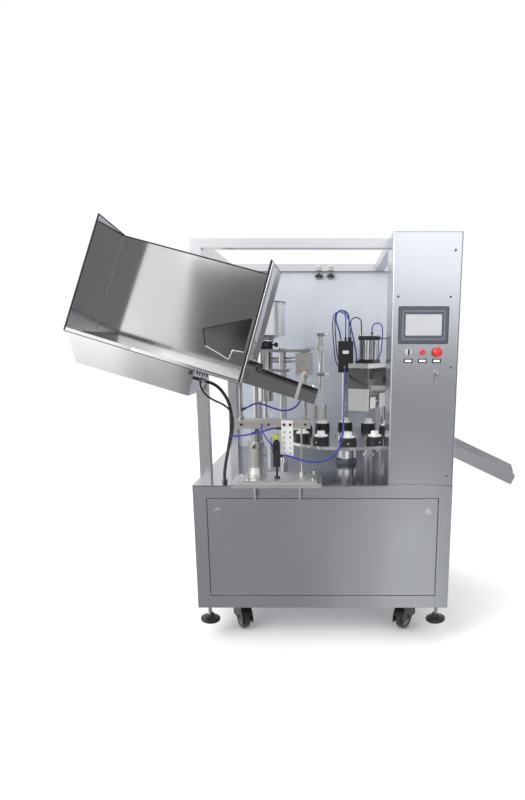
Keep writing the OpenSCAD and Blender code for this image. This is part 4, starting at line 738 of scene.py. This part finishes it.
# %% Routes of the small hoses
beam_hose = mm(
    [-204, -468, 1022], [-222, -470, 1021], [-245, -476, 1016], [-275, -481, 1008], [-310, -482, 1000],
    [-345, -479, 993], [-376, -470, 988], [-400, -455, 985], [-412, -440, 984], [-417, -430, 983])
supply_hose = mm(
    [-217.5, -505.5, 949.7], [-226, -512, 960], [-239, -518, 978], [-251, -519, 998],
    [-262, -511, 1016], [-268, -497, 1028], [-270, -481, 1035], [-270.5, -466, 1037])
trough_hose = mm(
    [-344, -450, 1110], [-328, -452, 1117], [-309, -456, 1127], [-287, -460, 1132], [-260, -461, 1128],
    [-230, -461, 1116], [-200, -461, 1106], [-170, -461, 1101], [-142, -461, 1105], [-119, -460, 1117],
    [-103, -460, 1135], [-95, -460, 1156])
heater_loop = mm(
    [121, 258, 1427], [121, 258, 1460], [121, 259, 1495], [121, 260, 1530], [116.2, 261, 1547.8],
    [103.3, 262, 1560.7], [85.5, 264, 1565.5], [67.8, 266, 1560.7], [54.8, 268, 1547.8],
    [50, 270, 1530], [48, 271, 1495], [49, 270, 1460], [51, 268, 1425], [54, 266, 1390],
    [58, 265, 1350], [62, 264, 1315], [69, 264, 1288], [80, 263, 1264])
heater_lead = mm(
    [140, 275, 1427], [140, 275, 1460], [140, 276, 1500], [140, 277, 1535], [134.8, 278, 1554.5],
    [120.5, 279, 1568.8], [101, 281, 1574], [81.5, 283, 1568.8], [67.2, 284, 1554.5], [62, 284, 1535],
    [61, 283, 1500], [63, 280, 1460], [66, 277, 1420], [68, 275, 1380], [71, 273, 1345],
    [75.5, 272, 1322], [81, 270, 1300])
jaw_lead = mm(
    [148, 236, 1427], [148, 236, 1450], [148, 235, 1480], [148, 234, 1505], [151.8, 232, 1519],
    [162.3, 228, 1529.7], [176.5, 223, 1533.5], [190.8, 218, 1529.7], [201.2, 214, 1519],
    [205, 211, 1505], [206, 208, 1470], [207, 204, 1430], [207, 200, 1390], [207, 197, 1350],
    [206, 194.5, 1315], [205, 193, 1286])
cylinder_hose = mm(
    [266, 218, 1454], [266, 218, 1475], [269.8, 217, 1489], [280, 216, 1499.2], [294, 216, 1503],
    [308, 215, 1499.2], [318.2, 215, 1489], [322, 216, 1475], [323, 216, 1440], [322, 217, 1400],
    [319, 218, 1365], [313, 219, 1335], [305, 221, 1315], [296, 223, 1300])
cylinder_lead = mm(
    [310.5, 194.3, 1422], [330, 184, 1421], [353, 177, 1417], [377, 180, 1410], [398, 193, 1402],
    [414, 217, 1394], [424, 252, 1386], [430, 300, 1378], [433, 350, 1372], [434, 400, 1368],
    [434, 440, 1367], [434, 468, 1367])
sensor_lead = mm(
    [-492, -622, 1256], [-497, -621, 1238], [-497, -608, 1211], [-485, -578, 1180], [-463, -538, 1155],
    [-438, -502, 1136], [-415, -474, 1112], [-401, -457, 1080], [-399, -450, 1040], [-405, -449, 995],
    [-417, -450, 945], [-430, -452, 895], [-440, -453, 845], [-445, -453, 805], [-446, -453, 779])
small_routes = (beam_hose, supply_hose, trough_hose, heater_loop, heater_lead, jaw_lead, cylinder_hose,
                cylinder_lead, sensor_lead)
print("small hoses:", len(small_routes), "hand-chosen points:", sum(len(route) for route in small_routes))

# %% Black and bright pieces
def black_piece(name, shape, body="machine", finish=black_plastic, soft_angle=35.0):
    """A piece of black plastic or rubber: add_piece with black plastic as its finish unless another is given.
    """
    return add_piece(name, shape, finish, body, soft_angle)


def steel_piece(name, shape, body="machine", finish=bright_steel, soft_angle=35.0):
    """A piece of bright metal: add_piece with bright steel as its finish unless another is given."""
    return add_piece(name, shape, finish, body, soft_angle)


print("usual black and bright finishes:", black_plastic.name, bright_steel.name)

# %% Small hoses on the machine
lifted_hose("beam_hose_tube", beam_hose, AIR_HOSE, *BLUE, "loader_lift", "machine")
lifted_hose("supply_hose_tube", supply_hose, SMALL_HOSE, *BLUE, "machine", "loader_lift")
lifted_hose("sensor_lead_tube", sensor_lead, LEAD, *BLACK, "loader_lift", "machine")
hose("trough_hose_tube", trough_hose, AIR_HOSE, *BLUE, "loader_lift")
hose("heater_loop_tube", heater_loop, SMALL_HOSE, *BLUE, "machine")
hose("heater_lead_tube", heater_lead, SMALL_HOSE, *BLACK, "machine")
hose("jaw_lead_tube", jaw_lead, SMALL_HOSE, *BLACK, "machine")
hose("cylinder_hose_tube", cylinder_hose, SMALL_HOSE, *BLUE, "machine")
hose("cylinder_lead_tube", cylinder_lead, SMALL_HOSE, *BLACK, "machine")
UP, TO_FRONT = (0.0, 0.0, 1.0), (0.0, -1.0, 0.0)
deck_grommet = turned([(9, 767), (9, 773), (7.5, 774), (7.5, 781), (6, 783), (4.2, 783)],
                      mm(-446, -453, 0), UP, 20)
panel_grommet = turned([(9, 0), (9, 3), (6.5, 7), (3.2, 7)], mm(434, 468.2, 1367), TO_FRONT, 20)
upright_ports = mm([121, 258, 1406], [140, 275, 1406], [148, 236, 1406], [266, 218, 1433])
still_fittings = together(
    elbow_fitting(6, mm(-206, -496, 935), (-0.55, -0.45, 0.70)),
    *[elbow_fitting(6, port, UP) for port in upright_ports],
    elbow_fitting(6, mm(292.3, 204.8, 1422), (0.866, -0.5, 0)), deck_grommet, panel_grommet)
black_piece("small_hose_fittings", still_fittings)
lift_fittings = together(elbow_fitting(6, mm(-183, -468, 1022), (-1, 0, 0)),
                         elbow_fitting(6, mm(-361, -450, 1102), (0.9, 0, 0.4)))
black_piece("lift_hose_fittings", lift_fittings, "loader_lift")
print("points in the fittings:", len(still_fittings[0]) + len(lift_fittings[0]))

# %% [markdown]
# ## Edges of the magazine
# The bin is thin sheet, so its rims carry black rubber edging, and the throat hood shows dark edges above
# and bright ones below. Edging is a small round profile carried along the rim. The rims are given in the
# bin's own directions (along, across, square to its floor) and turned by its slope.

# %% Rim edging
SLOPE = math.radians(17.0)
SLOPE_ORIGIN = mm(-337, 0, 1235)


def on_slope(points):
    """Points along the bin, across it and square to its floor, in millimetres, turned by the slope."""
    u, y, v = (np.asarray(points, dtype=float) / 1000.0).T
    return SLOPE_ORIGIN + np.stack([u * math.cos(SLOPE) + v * math.sin(SLOPE), y,
                                    v * math.cos(SLOPE) - u * math.sin(SLOPE)], axis=-1)


def close_points(corners, spacing=0.008):
    """The straight-sided route through the corners, with points at an even spacing along each side."""
    corners = np.asarray(corners, dtype=float)
    sides = [np.linspace(a, b, max(3, int(np.linalg.norm(b - a) / spacing)), endpoint=False)
             for a, b in zip(corners[:-1], corners[1:])]
    return np.concatenate(sides + [corners[-1:]])


def edging(corners, radius):
    """A thin round bead: a circle carried along the evenly spaced points of a straight-sided route."""
    return swept(close_points(corners), radius, 8)


RIM = 0.0034
bin_rim = together(
    edging(on_slope([[-723.5, -634, -1], [-683.4, -634, 465.3], [-685.4, -346, 439.4], [-683, -346, 437],
                     [1.2, -346, 467]]), RIM),
    edging(on_slope([[-1.5, -636, 2], [-1.5, -636, 495], [-1.5, -345, 495], [-1.5, -345, 470]]), 0.0045),
    edging(on_slope([[-721, -635, -3], [0, -635, -3]]), 0.0016))
corner_seam = edging(on_slope([[-720.5, -348.5, 4], [-684, -348.5, 436]]), 0.0016)
steel_piece("bin_corner_seam", corner_seam, "loader_lift", edge_steel, 60.0)
end_edge = edging(on_slope([[7, -637, 4], [7, -637, 492]]), 0.0028)
steel_piece("end_plate_bright_edge", end_edge, "loader_lift", edge_steel, 60.0)
black_piece("bin_rim_edging", bin_rim, "loader_lift", edge_rubber, 60.0)
hood_upper = edging(on_slope([[-222, -385, 88], [-250, -385, 156], [-50, -385, 264]]), 0.0036)
black_piece("hood_dark_edge", hood_upper, "loader_lift", edge_rubber, 60.0)
hood_lower = edging(on_slope([[-222, -385, 87], [-183, -385, 78], [-107, -385, 58], [-100, -385, 103],
                              [-50, -385, 109]]), 0.0026)
steel_piece("hood_bright_edge", hood_lower, "loader_lift", edge_steel, 60.0)
trough_rims = together(*[
    edging(on_slope([[3, y, 80], [45, y, 80], [45, y, 60], [317, y, 46]]), 0.0036) for y in (-561.5, -378.5)])
black_piece("trough_rim_edging", trough_rims, "loader_lift", edge_rubber, 60.0)
print("edging points:", len(bin_rim[0]) + len(trough_rims[0]))

# %% [markdown]
# ## Switch row and screen
# The screen is switched off: a pale grey glass that picks up the room, in a bezel with one lighter line, a
# painted highlight along its step edge.
# Each switch has a black frame with a pale card under it, and the cards stay bare. The door's screws sit
# on the drawing's bosses. All of them are plates and heads with a small chamfer, because an edge without
# one catches no light.

# %% Screen and cards
screen_glass = Finish("screen_glass", roughness=0.10, coat_weight=1.0)
haze = screen_glass.noise((8.0, 8.0, 8.0), detail=2.0)
screen_glass.feed("Base Color", screen_glass.mix(haze, colour(0.42, 0.422, 0.44), colour(0.52, 0.522, 0.54)))
screen = plate(154, 88, 3, 0.9, mm(430, -500.4, 1469), TO_FRONT)
add_piece("screen", screen, screen_glass.material, "column_door")
# The lighter ring is a painted highlight along the bezel's step edge.
bezel_highlight_ring = ring_plate(180, 120, 5, 4, 0.6, mm(430, -502.9, 1468), TO_FRONT)
add_piece("bezel_edge_highlight", bezel_highlight_ring, bezel_edge_highlight, "column_door")
card_places = [mm(x, 0, 0) for x in (369, 430, 491)]
frames = repeated(plate(38, 18, 2, 1.4, mm(0, -494.9, 1319), TO_FRONT), card_places)
cards = repeated(plate(27, 9, 1, 0.5, mm(0, -496.3, 1319), TO_FRONT, 0.2), card_places)
black_piece("card_frames", frames, "column_door")
add_piece("card_faces", cards, white_plastic, "column_door")
key_ring = turned([(7.4, -0.8), (9, -0.8), (9, 0.8), (7.4, 0.8)], mm(491, -503, 1253), TO_FRONT, 32, True)
spare_key = plate(9, 26, 3, 1.8, mm(491, -502, 1233), TO_FRONT)
steel_piece("key_ring_and_spare", together(key_ring, spare_key), "column_door", edge_steel)
EDGE_X, EDGE_LOW, EDGE_PITCH = 553, 813, 479
door_screws = repeated(socket_screw(9, 1.6, mm(0, -497.8, 0), TO_FRONT), mm(
    [EDGE_X, 0, EDGE_LOW], [EDGE_X, 0, EDGE_LOW + EDGE_PITCH], [EDGE_X, 0, EDGE_LOW + 2 * EDGE_PITCH],
    [320, 0, 1585], [540, 0, 1585]))
black_piece("column_door_screws", door_screws, "column_door", satin_black)
print("cards:", len(card_places), "points in the door screws:", len(door_screws[0]))

# %% [markdown]
# ## Screw heads and nuts
# Machine plates are held by cap screws, and legs end in nuts. Each could be a mesh of its own. One turned
# profile per kind is repeated instead, wherever the photograph shows one or the joint needs one.

# %% Fasteners on the loader
plate_screws = together(
    repeated(socket_screw(13, 8, mm(0, 0, 800), UP),
             mm([-332, -525, 0], [-332, -385, 0], [-42, -525, 0], [-42, -385, 0])),
    repeated(socket_screw(13, 8, mm(0, 0, 787), UP), mm([-378, -530, 0], [-378, -385, 0])))
steel_piece("loader_plate_screws", plate_screws)
bracket_screws = repeated(socket_screw(12, 7, mm(0, -471, 1039), TO_FRONT), mm([-170, 0, 0], [-143, 0, 0]))
beam_screws = repeated(socket_screw(11, 5, mm(0, -465, 1039), TO_FRONT),
                       mm([-362, 0, 0], [-240, 0, 0], [-76, 0, 0]))
black_piece("beam_screws", together(bracket_screws, beam_screws), "loader_lift")
lever_stem = turned([(5, 0), (5, 8), (3, 9), (3, 30), (2.5, 31)], mm(-303, -471, 943), TO_FRONT, 16)
lever_ball = turned([(0.5, 0), (4, 1.5), (6, 5), (6, 8), (4, 11.5), (0.5, 13)], mm(-303, -500, 943),
                    TO_FRONT, 16)
clamp_lever = together(lever_stem, lever_ball)
black_piece("column_clamp_lever", clamp_lever)
print("points in the beam's screws:", len(bracket_screws[0]) + len(beam_screws[0]))

# %% [markdown]
# ## Fasteners round the table
# Six screws hold the table's hub, a set screw holds each tube holder from outside, and nuts close the tie
# rods of the sealing cylinder. An array modifier could repeat them. Angles round the table's middle give
# the places here, because the sealing head stands at one of those angles too.

# %% Fasteners on the table, pump and sealing head
TABLE_MIDDLE = mm(121, 0, 0)
hub_angle = np.arange(6) * np.pi / 3
hub_places = TABLE_MIDDLE + 0.044 * np.stack([np.cos(hub_angle), np.sin(hub_angle), 0 * hub_angle], axis=-1)
hub_screws = repeated(socket_screw(10, 6, mm(0, 0, 920), UP), hub_places)
steel_piece("hub_screws", hub_screws, "turntable")
holder_angle = np.arange(12) * np.pi / 6
outward = np.stack([np.cos(holder_angle), np.sin(holder_angle), 0 * holder_angle], axis=-1)
set_screws = together(*[socket_screw(9, 2.5, TABLE_MIDDLE + o * 0.3048 + mm(0, 0, 922), o) for o in outward])
steel_piece("holder_set_screws", set_screws, "turntable")
leg_places = mm([-365, 59.5, 0], [-365, 203.5, 0], [-225, 59.5, 0], [-225, 203.5, 0])
leg_nuts = repeated(hex_nut(19, 9, mm(0, 0, 1363), UP), leg_places)
steel_piece("pump_leg_nuts", leg_nuts)
SEAL_TURN = math.radians(60.0)


def at_seal(points):
    """Points (outward, sideways, up) from the table's middle in millimetres, turned to the sealing head."""
    r, t, z = (np.asarray(points, dtype=float) / 1000.0).T
    return TABLE_MIDDLE + np.stack([r * math.cos(SEAL_TURN) - t * math.sin(SEAL_TURN),
                                    r * math.sin(SEAL_TURN) + t * math.cos(SEAL_TURN), z], axis=-1)


cap_corners = at_seal([[263 + a * 38, b * 38, 1433] for a in (-1, 1) for b in (-1, 1)])
cylinder_nuts = repeated(hex_nut(13, 8, mm(0, 0, 0), UP), cap_corners)
steel_piece("cylinder_nuts", cylinder_nuts)
portal_places = at_seal([[r, t, 1285] for r in (134, 407) for t in (-45, 45)])
portal_screws = repeated(socket_screw(13, 8, mm(0, 0, 0), UP), portal_places)
black_piece("portal_screws", portal_screws)
ring_and_square = (hub_places, outward, leg_places, cap_corners, portal_places)
print("table, pump and sealing fasteners:", sum(len(places) for places in ring_and_square))

# %% [markdown]
# ## Rings, knobs and fittings
# The hopper has a dark ring round its mouth and a bright clamp at its foot, the valve has two knobs, and
# the nozzle block has brass nipples. Rings are profiles that close on themselves before they are turned,
# so they have an inner wall. The guard's square tubes end in flat black caps.

# %% Fittings on the pump and the stations
HOPPER_AXIS = mm(-321, 131.5, 0)
hopper_ring = turned([(112.5, 1603.2), (120, 1603.2), (120.6, 1605), (120, 1608), (112.5, 1608)],
                     HOPPER_AXIS, UP, 64, True)
black_piece("hopper_lid_ring", hopper_ring, "machine", edge_rubber)
clamp_ring = turned([(46.5, 1402), (53, 1402), (55, 1405), (55, 1411), (53, 1414), (46.5, 1414)],
                    HOPPER_AXIS, UP, 48, True)
steel_piece("hopper_clamp_ring", clamp_ring)
valve_knobs = together(*[
    turned([(4, 0), (4, 14), (11, 15), (12.5, 19), (12.5, 28), (10, 31), (3, 31.5)], place, axis, 20)
    for place, axis in ((mm(-309, 86, 1386), (0.3, -1, 0.0)), (mm(-277, 118, 1386), (1, -0.3, 0.0)))])
black_piece("valve_knobs", valve_knobs)
brass_nipples = together(*[elbow_fitting(8, mm(x, 97.5, z), TO_FRONT)
                           for x, z in ((-124, 1252), (-90, 1252), (-107, 1300))])
steel_piece("nozzle_block_fittings", brass_nipples, "machine", brass)
press_fittings = together(*[elbow_fitting(3, mm(8, -227.8, z), (1, 0, 0)) for z in (1247, 1433)])
steel_piece("press_cylinder_fittings", press_fittings)
heater_plate = plate(34, 18, 2, 1.0, mm(121, 221, 1345), TO_FRONT)
add_piece("heater_plate", heater_plate, white_plastic, "machine")
clamp_bodies = repeated(plate(27, 30, 8, 12, mm(0, 444.6, 1820), TO_FRONT, 3), mm([-31, 0, 0], [37, 0, 0]))
steel_piece("clamp_bodies", clamp_bodies, "machine", satin_steel)
post_caps = repeated(plate(43.6, 43.6, 2, 3.4, mm(0, 0, 1842), UP),
                     mm([-560, 470, 0], [560, 470, 0], [-560, -313, 0]))
black_piece("guard_post_caps", post_caps)
print("points in the hopper's rings:", len(hopper_ring[0]) + len(clamp_ring[0]))

# %% [markdown]
# ## Knob and sockets under the magazine
# The casing under the bin ends in a dark opening. A round black knob and a short row of plugs sit at that
# end, where the sensor leads come together in the hanging cable. The plugs differ only in place, so one
# profile serves all of them.

# %% Casing end
slope_down = on_slope([[0, 0, -1]])[0] - on_slope([[0, 0, 0]])[0]
knob_place = on_slope([[-199, -633, -16]])[0]
knob = turned([(3, 0), (3, 1), (8, 1.2), (9, 2), (9, 3.4), (7.5, 4.2), (1, 4.5)], knob_place, TO_FRONT, 20)
plug_profile = [(2.6, 0), (2.6, 5), (3.4, 5.5), (3.4, 11), (2, 12), (2, 17)]
plug_places = on_slope([[u, -622, -3] for u in (-174, -164, -154, -144, -134)])
plugs = together(*[turned(plug_profile, place, slope_down, 12) for place in plug_places])
black_piece("casing_knob", knob, "loader_lift")
black_piece("casing_plugs", plugs, "loader_lift")
print("casing plugs:", len(plug_places))

# %% [markdown]
# ## Studio
# The photograph is cut out on white, so the floor is plain and pale and the camera sees a white world.
# What the steel reflects is another matter: a bright wall under a dimmer ceiling, a window at the left of
# a dark stretch of wall, a dark right side, and a grey floor with one pale upright strip. A picture of a
# room could do it. Formulas are used, because each soft band on the door, column and magazine can then be
# set in place.

# %% Floor
FLOOR_HALF = 9.0
floor_mesh = bpy.data.meshes.new("floor")
floor_corners = FLOOR_HALF * np.array([[-1, -1, 0], [1, -1, 0], [1, 1, 0], [-1, 1, 0]])
floor_mesh.from_pydata(floor_corners.tolist(), [], [(0, 1, 2, 3)])
floor = bpy.data.objects.new("floor", floor_mesh)
bpy.context.scene.collection.objects.link(floor)
floor_finish = Finish("floor_finish", roughness=0.9)
pale, paler = colour(0.90, 0.90, 0.90), colour(0.93, 0.93, 0.93)
floor_finish.feed("Base Color", floor_finish.mix(floor_finish.noise((1.5, 1.5, 1.5)), pale, paler))
floor_mesh.materials.append(floor_finish.material)
floor.visible_glossy = False
print("floor side in metres:", 2 * FLOOR_HALF)


# %% Lamps
def soft_light(name, place, target, size, power, tint=(1.0, 1.0, 1.0)):
    """A square lamp that looks at a point."""
    lamp = bpy.data.lights.new(name, "AREA")
    lamp.shape = "RECTANGLE"
    lamp.size, lamp.size_y = size
    lamp.energy = power
    lamp.color = tint
    holder = bpy.data.objects.new(name, lamp)
    holder.location = place
    holder.rotation_euler = (Vector(target) - Vector(place)).to_track_quat("-Z", "Y").to_euler()
    bpy.context.scene.collection.objects.link(holder)
    holder.visible_camera = False
    return holder


soft_light("key_left", (-3.2, -3.2, 3.4), (0.0, 0.0, 1.0), (2.4, 2.4), 90.0)
soft_light("fill_right", (3.4, -2.8, 2.6), (0.0, 0.0, 0.9), (2.0, 2.4), 40.0).visible_glossy = False
soft_light("top", (0.0, 0.4, 4.2), (0.0, 0.0, 0.8), (3.0, 3.0), 40.0)

print("lamps:", len(bpy.data.lights))

# %% World
world = bpy.data.worlds.new("studio")
bpy.context.scene.world = world
world.use_nodes = True


class Sky(Finish):
    """The world's node tree, with the same way of writing expressions."""

    def __init__(self, target):
        self.tree = target.node_tree
        self.shader = self.tree.nodes["Background"]
        self.place = None


def band(value, low0, low1, high0, high1):
    """Rises from 0 to 1 between the first two limits and falls back between the last two."""
    return value.finish.ramp(value, low0, low1) * (1.0 - value.finish.ramp(value, high0, high1))


sky = Sky(world)
sky.place = sky.node("ShaderNodeTexCoord", output=0)
# A direction is read as its turn from straight out in front, in radians, and the sine of its height.
east, north, high = sky.axes()
front = 0.0 - north
side = sky.node("ShaderNodeMath", {"operation": "ARCTAN2"}, {0: east, 1: front})
FLOOR_GREY, WALL_RISE, CEILING_DROP = 0.32, 1.65, 1.15
upper = FLOOR_GREY + sky.ramp(high, 0.01, 0.12) * WALL_RISE - sky.ramp(high, 0.26, 0.45) * CEILING_DROP
dark_wall = band(side, -0.255, -0.235, -0.02, 0.08) * band(high, -0.16, -0.10, 0.12, 0.17)
DARK_WALL, DARK_RIGHT, STRIP_LIGHT = 0.17, 0.9, 1.1
room = upper * (1.0 - dark_wall) + dark_wall * DARK_WALL
window = (1.0 - sky.ramp(side, -0.262, -0.247)) * sky.ramp(high, -0.22, -0.08)
WINDOW_SILL, WINDOW_RISE, WINDOW_LEFT = 0.62, 0.45, 0.5
far_left = 1.0 - sky.ramp(side, -0.37, -0.34)
window_light = WINDOW_SILL + sky.ramp(high, -0.06, 0.02) * WINDOW_RISE + far_left * WINDOW_LEFT
dark_right = band(side, 0.6, 0.9, 1.9, 2.2) * (1.0 - sky.ramp(high, 0.3, 0.6))
strip = band(side, 0.09, 0.14, 0.17, 0.23) * (1.0 - sky.ramp(high, -0.27, -0.18))
all_round = room * (1.0 - window) + window_light * window
studio_light = all_round * (1.0 - dark_right * DARK_RIGHT) + strip * STRIP_LIGHT
camera_ray = sky.node("ShaderNodeLightPath", output="Is Camera Ray")
mirror_ray = sky.node("ShaderNodeLightPath", output="Is Glossy Ray")
glass_ray = sky.node("ShaderNodeLightPath", output="Is Transmission Ray")
behind = sky.ramp(north, -0.05, 0.05) * (1.0 - sky.ramp(high, 0.5, 0.7))
white_rays = camera_ray + (mirror_ray + glass_ray) * behind
white_shows = sky.node("ShaderNodeMath", {"operation": "MINIMUM"}, {0: white_rays, 1: 1.0})
sky.feed("Strength", studio_light * (1.0 - white_shows) + white_shows)
sky.feed("Color", colour(1.0, 1.0, 1.0))
bpy.context.scene.view_settings.view_transform = "Standard"
print("studio ready")
